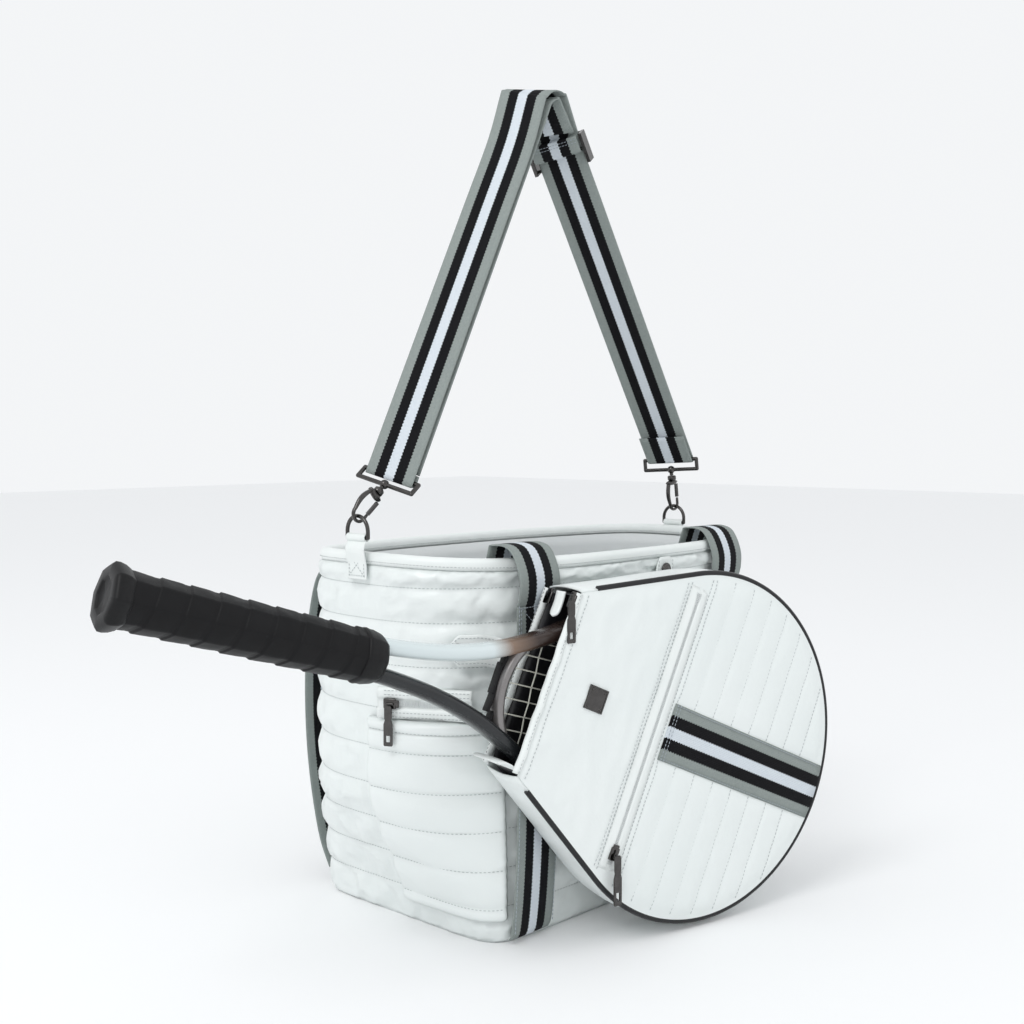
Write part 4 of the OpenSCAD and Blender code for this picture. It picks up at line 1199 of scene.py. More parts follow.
gusset_points = []
for k in range(13):
    share = k / 12
    y = 0.0006 + (COVER_THICK - 0.0012) * share
    bulge = 0.0022 * math.sin(math.pi * share) ** 0.7 + 0.0004
    line = []
    for n, ((x, z), (x0, z0)) in enumerate(zip(outline(bulge), outline(0.0))):
        wave = 0.0007 * noise.noise(Vector((x * 30, y * 60, z * 30))) * math.sin(math.pi * share)
        way = Vector((x - x0, 0, z - z0)).normalized()
        line.append(on_cover(x + way.x * wave, y, z + way.z * wave))
    gusset_points.append(line)
gusset = tidy(grid_mesh("cover_gusset_strip", gusset_points))
layer = gusset.modifiers.new("layer", "SOLIDIFY")
layer.thickness = 0.0014
layer.offset = 0
place_piece(gusset, puffer, "cover", "puffer_fabric", "cover_gusset")

piping_vinyl = Finish("black_piping_vinyl", Roughness=0.35, Specular_IOR_Level=0.3, Coat_Weight=0.1)
piping_vinyl.feed("Base Color", piping_vinyl.blend(piping_vinyl.noise(160.0, 3.0), (0.006, 0.006, 0.007, 1),
                                                   (0.016, 0.016, 0.018, 1)))
piping_vinyl.bump(piping_vinyl.noise(300.0, 3.0), 0.0002, 0.3)
PIPE_R = 0.0025
pipe_line = [on_cover(x, PIPE_R * 0.6, z) for x, z in outline(PIPE_R * 0.6, MOUTH_X + 0.014)]
swept("cover_piping_cord", [pipe_line], PIPE_R, piping_vinyl, "cover", "black_trim", "cover_piping",
      sides=12)

satin = Finish("black_satin_lining", Roughness=0.32)
satin_tone = satin.noise(30.0, 3.0)
satin.feed("Base Color", satin.blend(satin_tone, (0.010, 0.010, 0.012, 1), (0.028, 0.028, 0.032, 1)))
satin.bump(satin.noise(55.0, 4.0) + satin.noise(1500.0, 1.0) * 0.05, 0.0016, 0.5)
LINING_IN = 0.0033
bag_rows = []
for i in range(25):
    x = MOUTH_X + 0.0006 + 0.23 * i / 24
    half = cover_half(x) - LINING_IN
    ring = []
    for k in range(48):
        a = 2 * math.pi * k / 48
        y = COVER_THICK / 2 + (COVER_THICK / 2 - 0.0030) * squared(math.sin(a), 0.25)
        z = half * squared(math.cos(a), 0.25)
        ring.append(on_cover(x, y, z))
    bag_rows.append(ring)
bag = tidy(grid_mesh("cover_satin_lining", bag_rows, wrap=True))
layer = bag.modifiers.new("layer", "SOLIDIFY")
layer.thickness = 0.0005
layer.offset = 0
place_piece(bag, satin, "cover", "black_trim")


def close_ends(rows, uvs=None):
    """Adds a row at each end of a tube whose points all meet in the middle of that end."""
    for end in (0, -1):
        ring = rows[end][:-1] if uvs else rows[end]
        centre = sum(ring, Vector()) / len(ring)
        at = 0 if end == 0 else len(rows)
        rows.insert(at, [centre.copy() for _ in rows[end]])
        if uvs:
            uvs.insert(at, list(uvs[end]))


for word, y_mid, thread in (("front", 0.0012, white_thread_painted_shade), ("back", COVER_THICK - 0.0012, black_thread)):
    section = [(0.0032 * math.cos(a), 0.0030 * math.sin(a))
               for a in (2 * math.pi * k / 14 for k in range(14))]
    rows = []
    for i in range(41):
        z = (MOUTH_HALF - 0.0012) * (i / 20 - 1)
        bend = 0.0006 * math.sin(z * 240) * math.sin(z * 71)
        rows.append([on_cover(MOUTH_X - 0.0018 + dx, y_mid + dy + bend, z) for dx, dy in section])
    close_ends(rows)
    binding = tidy(grid_mesh("mouth_binding_fold_" + word, rows, wrap=True))
    place_piece(binding, trim, "cover", "white_trim", "mouth_binding_" + word)
    face = -0.0031 if word == "front" else 0.0
    line_x = MOUTH_X - 0.0018 if word == "front" else MOUTH_X - 0.0049
    stitches("mouth_stitches_" + word, [[on_cover(line_x, y_mid + face, (MOUTH_HALF - 0.003) * (k / 20 - 1))
                                         for k in range(41)]], "cover", "white_trim", thread, length=0.0022)


def front_face(x, z, lift=0.0012):
    return on_cover(x, 0.0005 - front_relief(x, z) - lift, z)


# topstitching: beside the mouth, both sides of the zip, and the quilting lines of the outer part
x = MOUTH_X + 0.0065
lines = [[front_face(x, (cover_half(x) - 0.004) * (k / 30 - 1)) for k in range(61)]]
for dx in (-0.0150, -0.0110, 0.0110, 0.0150):
    x = POCKET_ZIP_X + dx
    lines.append([front_face(x, (cover_half(x) - 0.006) * (k / 40 - 1)) for k in range(81)])
rib = 1
while POCKET_ZIP_X + TAPE_HALF + RIB * rib < COVER_R - 0.012:
    x = POCKET_ZIP_X + TAPE_HALF + RIB * rib
    half = cover_half(x) - 0.006
    for low, high in ((-half, -BAND_HALF - 0.002), (BAND_HALF + 0.002, half)):
        if high - low > 0.01:
            lines.append([front_face(x, low + (high - low) * k / 30) for k in range(31)])
    rib += 1
stitches("cover_panel_stitches", lines, "cover", "puffer_fabric", white_thread_painted_shade, pitch=0.0034, length=0.0026)

# the pocket's zip: two folded lips with the coil between, closed by its slider at the lower end
ZIP_HALF = math.sqrt(COVER_R ** 2 - POCKET_ZIP_X ** 2) - 0.012
lip_shape = ((0.0016, 0.0002), (0.0018, -0.0016), (0.0028, -0.0021), (0.0044, -0.0019), (0.0064, -0.0013),
             (0.0100, -0.0011), (0.0102, 0.0004))
lips = []


def thickened(part, thickness):
    """Turns a single face-thin layer into a solid one."""
    layer = part.modifiers.new("layer", "SOLIDIFY")
    layer.thickness = thickness
    layer.offset = 0
    bpy.context.view_layer.update()
    made = bpy.data.meshes.new_from_object(part.evaluated_get(bpy.context.evaluated_depsgraph_get()))
    part.modifiers.remove(layer)
    part.data = made
    return part


for sign in (-1, 1):
    rows = []
    for i in range(61):
        z = ZIP_HALF * (i / 30 - 1)
        flat = min(1.0, 12 * min(i, 60 - i) / 60 + 0.2)
        rows.append([on_cover(POCKET_ZIP_X + sign * dx, y * flat, z) for dx, y in lip_shape])
    lips.append(thickened(tidy(grid_mesh("lip", rows)), 0.0006))
tape = rounded_block((0.0080, 0.0008, 2 * ZIP_HALF - 0.004), 0.0003,
                     Matrix.Translation(on_cover(POCKET_ZIP_X, -0.0006, 0)) @ COVER_TURN.to_4x4())
merged("cover_zip_lips", [*lips, tape], trim, "cover", "white_trim", "cover_pocket_zip")
coil("cover_zip_coil",
     [[on_cover(POCKET_ZIP_X, -0.0014, -ZIP_HALF + 0.005),
       on_cover(POCKET_ZIP_X, -0.0014, ZIP_HALF - 0.005)]],
     COVER_TURN @ Vector((1, 0, 0)), "cover", "white_trim", coil_painted_shade_finish, 0.0014, 0.0062, 0.00058)

band_start = POCKET_ZIP_X + TAPE_HALF + 0.001
BAND_STEPS, BAND_LIFT = 16, 0.0022
rows, uvs = [], []
for i in range(BAND_STEPS + 1):
    share = i / BAND_STEPS
    row, uv = [], []
    for k in range(11):
        z = BAND_HALF * (k / 5 - 1)
        tip = math.sqrt((COVER_R - 0.0012) ** 2 - z * z)
        x = band_start + (tip - band_start) * share
        rise = 0.0018 + 0.0002 * math.sin(x * 130)
        row.append(on_cover(x, -rise * min(1.0, 0.75 + 4 * (1 - share)), z))
        uv.append((k / 10, (x - band_start) / WEB))
    rows.append(row)
    uvs.append(uv)
cover_band = tidy(grid_mesh("cover_band_webbing", rows, uvs=uvs))
layer = cover_band.modifiers.new("layer", "SOLIDIFY")
layer.thickness = 0.0014
layer.offset = -1
place_piece(cover_band, striped, "cover", "striped_webbing", "cover_web_band")
band_lines = [[on_cover(band_start + dx, -BAND_LIFT, BAND_HALF * 0.96 * (k / 8 - 1)) for k in range(17)]
              for dx in (0.0028, 0.0060)]
seam_run = 0.135 - band_start
band_lines += [[on_cover(band_start + 0.003 + seam_run * k / 30, -BAND_LIFT, s * (BAND_HALF - 0.0016))
                for k in range(31)] for s in (-1, 1)]
stitches("cover_band_stitches", band_lines, "cover", "striped_webbing", grey_thread)

# ---------------------------------------------------------------- sliders, pulls and end tabs
# Die-cast zip sliders in the same dark plating: a rounded body with a bridge, and a long flat
# pull with a slot near its end. White folded tongues finish the mouth zip's two ends.
PULL_LONG, PULL_WIDE, PULL_THICK, RUN_GAP = 0.034, 0.008, 0.0016, 0.0004


def slider_parts(matrix):
    """Slider body, nose and bridge on local XZ, standing towards -Y; local Z is the way it runs."""
    shapes = (((0.0088, 0.0022, 0.0110), 0.0009, (0, -0.0034, 0)),
              ((0.0062, 0.0020, 0.0040), 0.0008, (0, -0.0034, 0.0060)),
              ((0.0022, 0.0026, 0.0075), 0.0008, (0, -0.0052, 0.0003)))
    return [rounded_block(size, bevel, matrix @ Matrix.Translation(at)) for size, bevel, at in shapes]


def pull_mesh(name, matrix, length, body, *nodes):
    """A flat pull hanging from its eye: a frame with rounded corners and a slot near its free end."""
    work = bmesh.new()
    outer = [(-0.30, 0.0), (-0.42, -0.08), (-0.42, -0.30), (-0.36, -0.36), (-0.5, -0.46), (-0.5, -0.97),
             (-0.42, -1.0), (0.42, -1.0), (0.5, -0.97), (0.5, -0.46), (0.36, -0.36), (0.42, -0.30),
             (0.42, -0.08),
             (0.30, 0.0)]
    inner = [(-0.22, -0.74), (-0.22, -0.90), (0.22, -0.90), (0.22, -0.74)]
    rim_front = [work.verts.new((x * PULL_WIDE, 0, z * length)) for x, z in outer]
    slot_front = [work.verts.new((x * PULL_WIDE, 0, z * length)) for x, z in inner]
    edges = [work.edges.new((ring[k], ring[(k + 1) % len(ring)])) for ring in (rim_front, slot_front)
             for k in range(len(ring))]
    bmesh.ops.triangle_fill(work, edges=edges, use_beauty=True)
    faces = work.faces[:]
    grown_part = bmesh.ops.extrude_face_region(work, geom=faces)
    moved = [v for v in grown_part["geom"] if isinstance(v, bmesh.types.BMVert)]
    bmesh.ops.translate(work, vec=(0, PULL_THICK, 0), verts=moved)
    bmesh.ops.recalc_face_normals(work, faces=work.faces)
    sharp = [e for e in work.edges if len(e.link_faces) == 2 and e.calc_face_angle() > 0.6]
    bmesh.ops.bevel(work, geom=sharp, offset=0.00032, segments=2, profile=0.5, affect="EDGES")
    bmesh.ops.transform(work, matrix=matrix, verts=work.verts)
    mesh = bpy.data.meshes.new(name)
    work.to_mesh(mesh)
    work.free()
    piece = bpy.data.objects.new(name, mesh)
    bpy.context.scene.collection.objects.link(piece)
    return place_piece(piece, gunmetal, body, "gunmetal", *nodes)


def frame_matrix(at, x_axis, y_axis, z_axis):
    turn = Matrix((x_axis, y_axis, z_axis)).transposed().to_4x4()
    return Matrix.Translation(at) @ turn


UP = Vector((0, 0, 1))
END_RUN = ZIP_RUN - 0.012
end_turn = frame_matrix(end_zip_at(END_RUN, 0, 0), -UP, -zip_out, -zip_dir)
merged("end_slider_body", slider_parts(end_turn), gunmetal, "end_slider", "gunmetal", "end_zip_slider")
end_pull_turn = frame_matrix(end_zip_at(END_RUN, 0.0062 + 2 * RUN_GAP, -0.001), zip_dir, zip_out, UP)
pull_mesh("end_pull_tab", end_pull_turn, PULL_LONG, "end_pull", "end_zip_pull")

cover_x, cover_y, cover_z = (COVER_TURN @ Vector(v) for v in ((1, 0, 0), (0, 1, 0), (0, 0, 1)))
level_x = Matrix.Rotation(-COVER_YAW, 3, "Z") @ Vector((1, 0, 0))
slider_z = -ZIP_HALF + 0.014
cover_slider_turn = frame_matrix(on_cover(POCKET_ZIP_X, 0.0006, slider_z), cover_x, cover_y, cover_z)
merged("cover_slider_body", slider_parts(cover_slider_turn), gunmetal, "cover_slider", "gunmetal",
       "cover_zip_slider")
cover_pull_turn = frame_matrix(on_cover(POCKET_ZIP_X, -0.008 - 2 * RUN_GAP, slider_z), level_x, cover_y, UP)
pull_mesh("cover_pull_tab", cover_pull_turn, PULL_LONG + 0.008, "cover_pull", "cover_zip_pull")

MOUTH_SLIDER_X, MOUTH_SLIDER_Z = MOUTH_X - 0.010, MOUTH_HALF - 0.009
mouth_parts = []
for y in (0.0037, COVER_THICK - 0.0095):
    at = on_cover(MOUTH_SLIDER_X + 0.002, y, MOUTH_SLIDER_Z)
    mouth_parts += slider_parts(frame_matrix(at, cover_y, -cover_x, cover_z))
merged("mouth_slider_bodies", mouth_parts, gunmetal, "mouth_sliders", "gunmetal", "mouth_zip_sliders")
mouth_pull_at = on_cover(MOUTH_SLIDER_X + 0.001, -0.0008 - RUN_GAP - PULL_THICK, MOUTH_SLIDER_Z - 0.001)
pull_mesh("mouth_pull_tab", frame_matrix(mouth_pull_at, level_x, cover_y, UP), PULL_LONG, "mouth_pull",
          "mouth_zip_pull")

tongue = []
for k in range(13):
    share = k / 12
    z = MOUTH_SLIDER_Z + 0.006 - 0.022 * share
    half = 0.0056 * (1 if share < 0.75 else math.sqrt(max(0.0, 1 - ((share - 0.75) / 0.25) ** 2)))
    tongue.append([on_cover(MOUTH_SLIDER_X + 0.0015 + 0.0012 * math.sin(share * 3), 0.0165 + half * t, z)
                   for t in (-1, -0.5, 0, 0.5, 1)])
tongue_piece = tidy(grid_mesh("tongue", tongue))
corner = []
for k in range(9):
    a = math.pi * k / 8
    corner.append([on_cover(MOUTH_X - 0.0105 + 0.0085 * math.cos(a) * 0.9, COVER_THICK / 2 + 0.0195 * t,
                            -MOUTH_HALF + 0.0035 + 0.0036 * math.sin(a) * (1 - 0.25 * abs(t)))
                   for t in (-1, -0.6, -0.2, 0.2, 0.6, 1)])
corner_piece = tidy(grid_mesh("corner", corner))
ends = [thickened(part, 0.0016) for part in (tongue_piece, corner_piece)]
merged("mouth_zip_end_tabs", ends, trim, "cover", "white_trim", "zip_end_tabs")

# ---------------------------------------------------------------- badge
# A plain square plate with a raised rim, pinned to the cover by four rivets. It carries no mark.
BADGE_X, BADGE_Z, BADGE, BADGE_RIM, RIVET_OUT = MOUTH_X + 0.047, 0.002, 0.020, 0.0014, 0.0070
plate_at = frame_matrix(on_cover(BADGE_X, -0.0021, BADGE_Z), cover_x, cover_y, cover_z)
badge_parts = [rounded_block((BADGE, 0.0022, BADGE), 0.0007, plate_at)]
for sign in (-1, 1):
    edge = sign * (BADGE / 2 - BADGE_RIM / 2)
    for size, at in (((BADGE, 0.0012, BADGE_RIM), (0, -0.0009, edge)),
                     ((BADGE_RIM, 0.0012, BADGE), (edge, -0.0009, 0))):
        badge_parts.append(rounded_block(size, 0.0004, plate_at @ Matrix.Translation(at)))
merged("badge_square", badge_parts, gunmetal, "cover", "gunmetal", "badge_plate")
RIVET_DOME = ((0, 0), (0.0011, 0), (0.0011, 0.0003), (0.0007, 0.0008), (0, 0.0010))
rivet_turn = COVER_TURN @ Matrix.Rotation(math.pi / 2, 3, "X")
rivets = [turned_solid("rivet", RIVET_DOME,
                       on_cover(BADGE_X + sx * RIVET_OUT, -0.0030, BADGE_Z + sz * RIVET_OUT),
                       rivet_turn, steps=20) for sx in (-1, 1) for sz in (-1, 1)]
merged("badge_rivet_heads", rivets, gunmetal, "cover", "gunmetal", "badge_rivets")

# ---------------------------------------------------------------- snap tabs
# Two flat folded tabs of the shell fabric, topstitched and pointed, hold the cover to the tote.
# The left one is the cover's hinge; the right one closes with a snap under the rim.
TAB_WIDE, TAB_THICK, TAB_SEAM = 0.026, 0.0018, 0.0025
LEFT_SNAP_Z, LEFT_TAB_OUT = 0.252, 0.0098


def joint_place(name):
    return Vector(next(joint for joint in frame["joints"] if joint["name"] == name)["pos_m"])


hinge_foot = joint_place("cover_swing").xy.to_3d()
left_path = [tote_at(math.radians(a), LEFT_SNAP_Z, -LEFT_TAB_OUT) for a in (213, 217, 221, 224)]
left_path += [hinge_foot + Vector((-0.005, 0.009, LEFT_SNAP_Z - 0.003)),
              hinge_foot + Vector((-0.002, 0.002, LEFT_SNAP_Z - 0.006))]


def pointed(share):
    """Width of the left tab along its length: a blunt point at its free end."""
    return min(1.0, 0.35 + 4.2 * share) if share < 0.155 else 1.0


def blunted(share):
    """Width of the right tab along its length: a little narrower past the snap."""
    return 1.0 if share < 0.9 else 1.0 - 0.45 * (share - 0.9) / 0.1


left_line = band("hinge_tab_left", left_path, [UP] * len(left_path), trim, "tote", "white_trim",
                 "snap_tab_left", width=TAB_WIDE, thick=TAB_THICK, taper=pointed)

RIGHT_X, RIGHT_SNAP_Z = 0.033, RIM_Z - 0.021
RIGHT_Y = -face_y(RIGHT_X, RIM_Z * 0.9) - 0.005
tab_root = joint_place("top_tab_unsnap")
right_path = [Vector((RIGHT_X, y, z)) for y, z in (
    (tab_root.y + 0.001, tab_root.z), (tab_root.y + 0.008, tab_root.z + 0.016),
    (RIGHT_Y - 0.006, RIGHT_SNAP_Z - 0.036), (RIGHT_Y, RIGHT_SNAP_Z - 0.016),
    (RIGHT_Y, RIGHT_SNAP_Z + 0.012))]
band("snap_tab_top", right_path, [ACROSS_X] * len(right_path), trim, "top_tab", "white_trim",
     "snap_tab_right", width=TAB_WIDE, thick=TAB_THICK, taper=blunted)

left_out = Vector((-1, -0.75, 0)).normalized()
edge_path = []
for s in (-1, 1):
    edge_path.append([p + left_out * 0.0014 + UP
                      * (s * (TAB_WIDE / 2 - TAB_SEAM) * pointed(k / (len(left_line) - 1)))
                      for k, p in enumerate(left_line)][2:])
stitches("hinge_tab_stitches", edge_path, "tote", "white_trim", white_thread_painted_shade)
top_edges = [[Vector((RIGHT_X + s * (TAB_WIDE / 2 - TAB_SEAM), RIGHT_Y - 0.0012, RIGHT_SNAP_Z + dz))
              for dz in (-0.016, -0.004, 0.008)] for s in (-1, 1)]
stitches("snap_tab_stitches", top_edges, "top_tab", "white_trim", white_thread_painted_shade)

SNAP_DOME = ((0, 0), (0.0064, 0), (0.0065, 0.0006), (0.0060, 0.0014), (0.0049, 0.0017), (0.0046, 0.0014),
             (0.0040, 0.0014), (0.0028, 0.0019), (0, 0.0022))


def snap_cap(name, at, out, body, node):
    turn = out.to_track_quat("Z", "Y").to_matrix()
    piece = turned_solid(name, SNAP_DOME, at, turn, steps=40)
    place_piece(piece, gunmetal, body, "gunmetal", node)


left_snap_at = tote_at(math.radians(216), LEFT_SNAP_Z, -LEFT_TAB_OUT) + left_out * 0.0012
snap_cap("snap_dome_left", left_snap_at, left_out, "tote", "snap_cap_left")
snap_cap("snap_dome_right", Vector((RIGHT_X, RIGHT_Y - 0.0012, RIGHT_SNAP_Z)), Vector((0, -1, 0)),
         "top_tab", "snap_cap_right")

# ---------------------------------------------------------------- racket
# A moulded hollow frame whose two arms leave the handle and run round the head, bridged across the
# throat. It is lacquered pale above and black below, and strung with 16 mains and 19 crosses.
RACKET_TURN = math.radians(7)
BUTT = Vector((-0.536, COVER_THICK / 2, -(0.510 * math.sin(RACKET_TURN) - 0.005)))
HEAD_HALF, HEAD_AT, RACKET_LONG = 0.124, 0.510, 0.685
FRAME_WIDE, FRAME_THICK, THROAT_HALF = 0.013, 0.023, 0.015
HEAD_LONG = RACKET_LONG - HEAD_AT
GRIP_LONG, GRIP_R, CAP_LONG = 0.212, 0.0195, 0.014


def on_racket(s, y, z):
    """A place on the racket: s along it from the butt, z across its head, y through it."""
    c, n = math.cos(RACKET_TURN), math.sin(RACKET_TURN)
    return on_cover(BUTT.x + s * c - z * n, BUTT.y + y, BUTT.z + s * n + z * c)


def throat_w(s):
    return THROAT_HALF + (HEAD_HALF - THROAT_HALF) * math.exp(-((HEAD_AT - s) / 0.150) ** 2)


ARM_FROM = GRIP_LONG - 0.002
arm = [(ARM_FROM + (HEAD_AT - ARM_FROM) * k / 44) for k in range(44)]
frame_path = [(s, throat_w(s) - FRAME_WIDE / 2) for s in arm]
for k in range(73):
    a = math.pi / 2 - math.pi * k / 72
    frame_path.append((HEAD_AT + (HEAD_LONG - FRAME_WIDE / 2) * math.cos(a), (HEAD_HALF - FRAME_WIDE / 2)
                       * math.sin(a)))
frame_path += [(s, -throat_w(s) + FRAME_WIDE / 2) for s in reversed(arm)]

# box-beam section: flat faces with softly rounded shoulders
BEAM = 28


def beam_section(k):
    a = 2 * math.pi * k / BEAM
    across = squared(math.cos(a), 0.75) * FRAME_WIDE / 2
    through = squared(math.sin(a), 0.85) * FRAME_THICK / 2
    return across, through


rows, uvs = [], []
last_i = len(frame_path) - 1
for i, (s, z) in enumerate(frame_path):
    a, b = frame_path[max(0, i - 1)], frame_path[min(last_i, i + 1)]
    way = Vector((b[0] - a[0], b[1] - a[1])).normalized()
    normal = Vector((-way.y, way.x))
    lower = i > last_i / 2
    row, uv = [], []
    for k in range(BEAM):
        across, through = beam_section(k)
        row.append(on_racket(s + normal.x * across, through, z + normal.y * across))
        uv.append((k / BEAM, -s if lower else s))
    rows.append([*row, row[0]])
    uvs.append([*uv, uv[0]])
close_ends(rows, uvs)
racket_frame = tidy(grid_mesh("racket_frame_beam", rows, uvs=uvs))

lacquer = Finish("racket_lacquer", Specular_IOR_Level=0.3, Coat_Weight=0.3, Coat_Roughness=0.06)
far = lacquer.uv()[1]
speckle = lacquer.noise(900.0, 2.0)
upper = lacquer.ramp(far * 2.0 + speckle * 0.006, [
    (0.0, (0.62, 0.70, 0.71, 1)), (0.62, (0.66, 0.73, 0.74, 1)), (0.655, (0.22, 0.15, 0.11, 1)),
    (0.70, (0.035, 0.022, 0.018, 1)), (1.0, (0.02, 0.02, 0.022, 1))])
lower_tone = lacquer.blend(lacquer.noise(40.0, 2.0), (0.010, 0.011, 0.012, 1), (0.022, 0.025, 0.028, 1))
lacquer.feed("Base Color", lacquer.blend(far > 0.0, lower_tone, upper))
lacquer.feed("Roughness", speckle * 0.10 + 0.20)
place_piece(racket_frame, lacquer, "racket", "frame_paint", "racket_frame")

BRIDGE_S, BRIDGE_DIP = 0.338, 0.010
bridge_half = throat_w(BRIDGE_S) - FRAME_WIDE * 0.72
rows = []
for i in range(33):
    t = i / 16 - 1
    s, z = BRIDGE_S - BRIDGE_DIP * (1 - t * t), t * bridge_half
    slope = Vector((2 * BRIDGE_DIP * t, bridge_half)).normalized()
    normal = Vector((slope.y, -slope.x))
    wide = 0.0045 + 0.0016 * t ** 4
    row = []
    for k in range(20):
        a = 2 * math.pi * k / 20
        across = squared(math.cos(a), 0.8) * wide
        through = squared(math.sin(a), 0.8) * (FRAME_THICK / 2 - 0.002)
        row.append(on_racket(s + normal.x * across, through, z + normal.y * across))
    rows.append(row)
close_ends(rows)
bridge = tidy(grid_mesh("racket_bridge_beam", rows, wrap=True))
bridge_lacquer = Finish("bridge_lacquer", Metallic=0.6, Coat_Weight=0.5, Coat_Roughness=0.12)
flake = bridge_lacquer.noise(1400.0, 2.0)
bridge_lacquer.feed("Base Color", bridge_lacquer.blend(flake, (0.17, 0.16, 0.16, 1),
                                                       (0.28, 0.265, 0.26, 1)))
bridge_lacquer.feed("Roughness", flake * 0.15 + 0.24)
place_piece(bridge, bridge_lacquer, "racket", "bridge_paint", "racket_bridge")

moulded = Finish("black_moulded_rubber", Roughness=0.42, Specular_IOR_Level=0.2)
moulded.feed("Base Color", moulded.blend(moulded.noise(400.0, 3.0), (0.005, 0.005, 0.0055, 1),
                                         (0.012, 0.012, 0.013, 1)))
moulded.bump(moulded.noise(900.0, 3.0), 0.0002, 0.4)


def bridge_point(t, out, through):
    s, z = BRIDGE_S - BRIDGE_DIP * (1 - t * t), t * bridge_half
    return on_racket(s + out, through, z)


strips = [rounded_block((0.0022, 0.0085, 0.026), 0.0009,
                        frame_matrix(bridge_point(t, -0.0052, 0), *(COVER_TURN @ v for v in (
                            Vector((1, 0, 0)), Vector((0, 1, 0)), Vector((-0.12 * t, 0, 1)).normalized()))))
          for t in (-0.62, -0.21, 0.21, 0.62)]
bumper_rows = []
for i in range(25):
    t = (i / 12 - 1) * 0.84
    bumper_rows.append([bridge_point(t, 0.0046 + dx, dy) for dx, dy in
                        ((0, -0.0045), (0.0014, -0.0038), (0.0016, 0), (0.0014, 0.0038), (0, 0.0045),
                         (-0.0004, 0))])
close_ends(bumper_rows)
bumper = tidy(grid_mesh("bumper", bumper_rows, wrap=True))
merged("racket_bumper_strip", [bumper, *strips], moulded, "racket", "black_trim", "racket_bumper")

# strings: each rises over one crossing string and dips under the next
STRING_R, MAINS, CROSSES = 0.00065, 16, 19
IN_HALF, IN_LONG = HEAD_HALF - FRAME_WIDE * 0.8, HEAD_LONG - FRAME_WIDE * 0.8
MAIN_GAP = 2 * (HEAD_HALF - FRAME_WIDE - 0.001) * 0.9 / MAINS
STRING_LOW = BRIDGE_S + 0.006


def inside_half(s):
    if s > HEAD_AT:
        return IN_HALF * math.sqrt(max(0.0, 1 - ((s - HEAD_AT) / IN_LONG) ** 2))
    return throat_w(s) - FRAME_WIDE * 0.8


cross_at = [STRING_LOW + (RACKET_LONG - FRAME_WIDE - 0.004 - STRING_LOW) * k / (CROSSES + 1)
            for k in range(1, CROSSES + 1)]
main_at = [(k - (MAINS - 1) / 2) * MAIN_GAP for k in range(MAINS)]
strings = []
for n, z in enumerate(main_at):
    top = HEAD_AT + IN_LONG * math.sqrt(1 - (z / IN_HALF) ** 2)
    spots = [s for s in cross_at if inside_half(s) > abs(z)]
    on_bridge = STRING_LOW - BRIDGE_DIP * (1 - (z / bridge_half) ** 2)
    low = on_bridge if abs(z) < bridge_half else spots[0] - 0.012
    marks = [(low, 0.0), *[(s, STRING_R * (1 if (k + n) % 2 else -1)) for k, s in enumerate(cross_at)
                           if s in spots],
             (top, 0.0)]
    strings.append([on_racket(s, y, z) for s, y in marks if s <= top])
for k, s in enumerate(cross_at):
    half = inside_half(s)
    marks = [(-half, 0.0), *[(z, STRING_R * (-1 if (k + n) % 2 else 1)) for n, z in enumerate(main_at)
                             if abs(z) < half],
             (half, 0.0)]
    strings.append([on_racket(s, y, z) for z, y in marks])
string_gut = Finish("racket_string", Roughness=0.3)
string_gut.feed("Base Color", string_gut.blend(string_gut.noise(300.0, 2.0), (0.62, 0.62, 0.54, 1),
                                               (0.76, 0.76, 0.68, 1)))
swept("racket_string_bed", strings, STRING_R, string_gut, "racket", "string", "racket_strings", sides=6)

# ---------------------------------------------------------------- grip, collar and butt
# A tacky perforated wrap wound in eight overlapping turns on the octagonal handle, held at its top
# by a rubber collar. The butt is a flared octagonal cap with a plain disc let into its end.
TURNS = 8.5
GRIP_END = GRIP_LONG - 0.012
SIDES_ROUND, GRIP_STEPS = 96, 260


def octagon(angle, radius, soft):
    """Radius of a rounded octagon at an angle; soft 0 is sharp, 1 is round."""
    step = math.pi / 4
    local = (angle % step) - step / 2
    return radius * ((1 - soft) * math.cos(step / 2) / math.cos(local) + soft)


rows, uvs = [], []
for i in range(GRIP_STEPS + 1):
    s = CAP_LONG - 0.001 + (GRIP_END - CAP_LONG + 0.001) * i / GRIP_STEPS
    row, uv = [], []
    for k in range(SIDES_ROUND):
        a = 2 * math.pi * k / SIDES_ROUND
        phase = (TURNS * i / GRIP_STEPS - k / SIDES_ROUND) % 1.0
        lap = 0.0011 * max(0.0, 1 - phase / 0.82) ** 0.6 if phase > 0.03 else 0.0011 * phase / 0.03
        dent = 0.00035 * noise.noise(Vector((s * 90, math.cos(a) * 2, math.sin(a) * 2)))
        radius = octagon(a, GRIP_R + 0.0002, 0.35) + lap + dent
        row.append(on_racket(s, radius * math.sin(a), radius * math.cos(a)))
        uv.append((TURNS * i / GRIP_STEPS - k / SIDES_ROUND, s * 20))
    rows.append([*row, row[0]])
    uvs.append([*uv, (uv[0][0] - 1, uv[0][1])])
close_ends(rows, uvs)
grip = tidy(grid_mesh("racket_grip_wrap", rows, uvs=uvs))
tacky = Finish("tacky_grip_wrap", Specular_IOR_Level=0.17)
blotch = tacky.noise(60.0, 4.0)
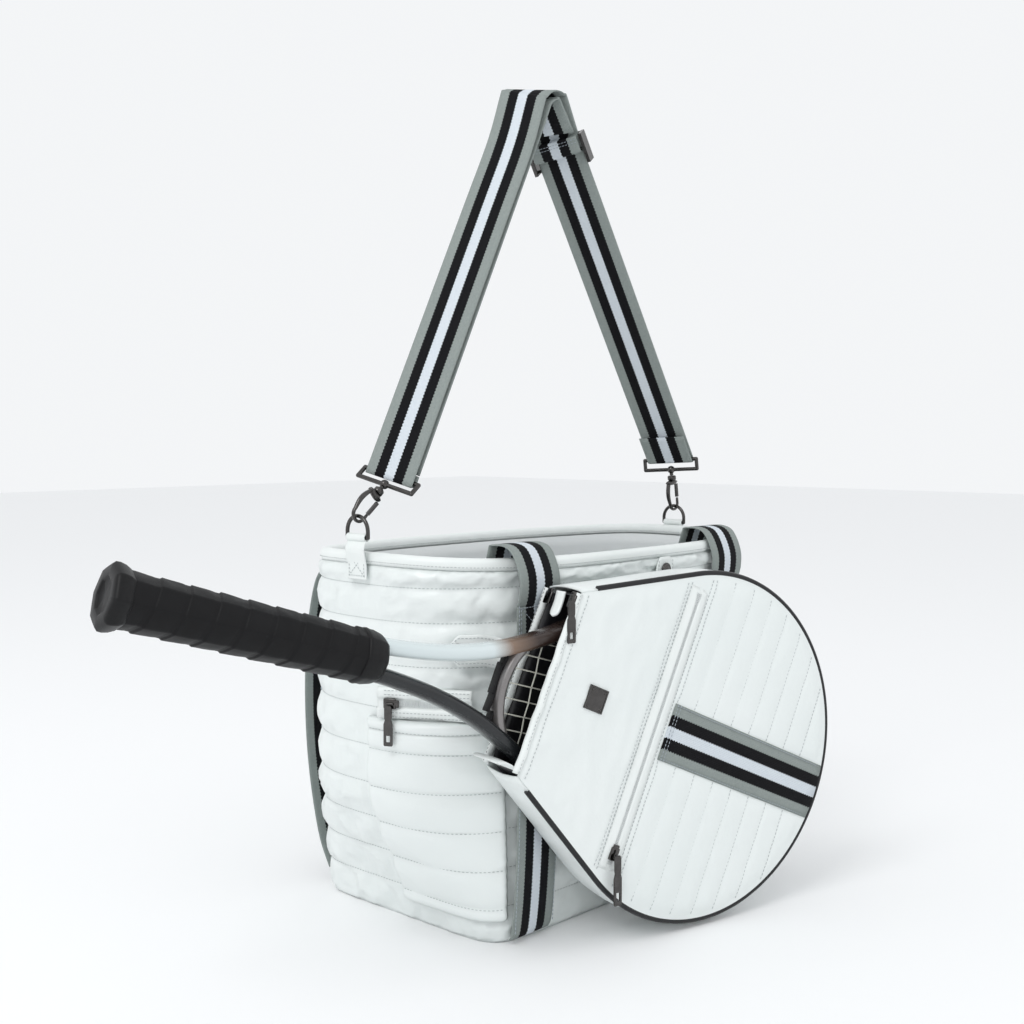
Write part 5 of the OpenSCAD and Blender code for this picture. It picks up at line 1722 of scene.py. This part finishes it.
tacky.feed("Base Color", tacky.blend(blotch, (0.004, 0.004, 0.0045, 1), (0.010, 0.010, 0.011, 1)))
tacky.feed("Roughness", blotch * 0.2 + 0.38)
tacky.bump(tacky.noise(1500.0, 2.0) * 0.4 + tacky.noise(120.0, 3.0), 0.0005, 0.4)
place_piece(grip, tacky, "racket", "grip_wrap", "racket_grip")


def racket_lathe(name, profile, soft, finish, slot, node, sides=96):
    """A closed solid about the racket's axis from (s, radius) points, with an octagonal outline."""
    rows = []
    for s, r in profile:
        rows.append([on_racket(s, octagon(a, r, soft) * math.sin(a), octagon(a, r, soft) * math.cos(a))
                     for a in (2 * math.pi * k / sides for k in range(sides))])
    piece = tidy(grid_mesh(name, rows, wrap=True))
    place_piece(piece, finish, "racket", slot, node)


C0 = GRIP_LONG - 0.0165
racket_lathe("racket_collar_ring", ((C0, 0), (C0, GRIP_R), (C0 + 0.0006, GRIP_R + 0.0016),
                                    (C0 + 0.003, GRIP_R + 0.0020),
                                    (C0 + 0.006, GRIP_R + 0.0013), (C0 + 0.009, GRIP_R + 0.0014),
                                    (C0 + 0.016, GRIP_R - 0.0002),
                                    (C0 + 0.0190, GRIP_R - 0.0022), (C0 + 0.0200, GRIP_R - 0.0048),
                                    (C0 + 0.0200, 0)),
             0.55, moulded, "black_trim", "racket_collar")
racket_lathe("racket_butt_flare", ((0.0016, 0), (0.0016, 0.0128), (0.0004, 0.0134), (0, 0.0146),
                                   (0.0004, GRIP_R + 0.0026),
                                   (0.0024, GRIP_R + 0.0046), (0.0056, GRIP_R + 0.0048),
                                   (0.0100, GRIP_R + 0.0038),
                                   (CAP_LONG, GRIP_R + 0.0018), (CAP_LONG + 0.001, GRIP_R),
                                   (CAP_LONG + 0.001, 0)),
             0.12, moulded, "black_trim", "racket_butt_cap")
core_foam = Finish("handle_core_foam", Roughness=0.85)
core_foam.feed("Base Color", core_foam.blend(core_foam.noise(500.0, 3.0), (0.03, 0.03, 0.03, 1),
                                             (0.06, 0.06, 0.06, 1)))
repaint(core_foam, "racket_handle_core")
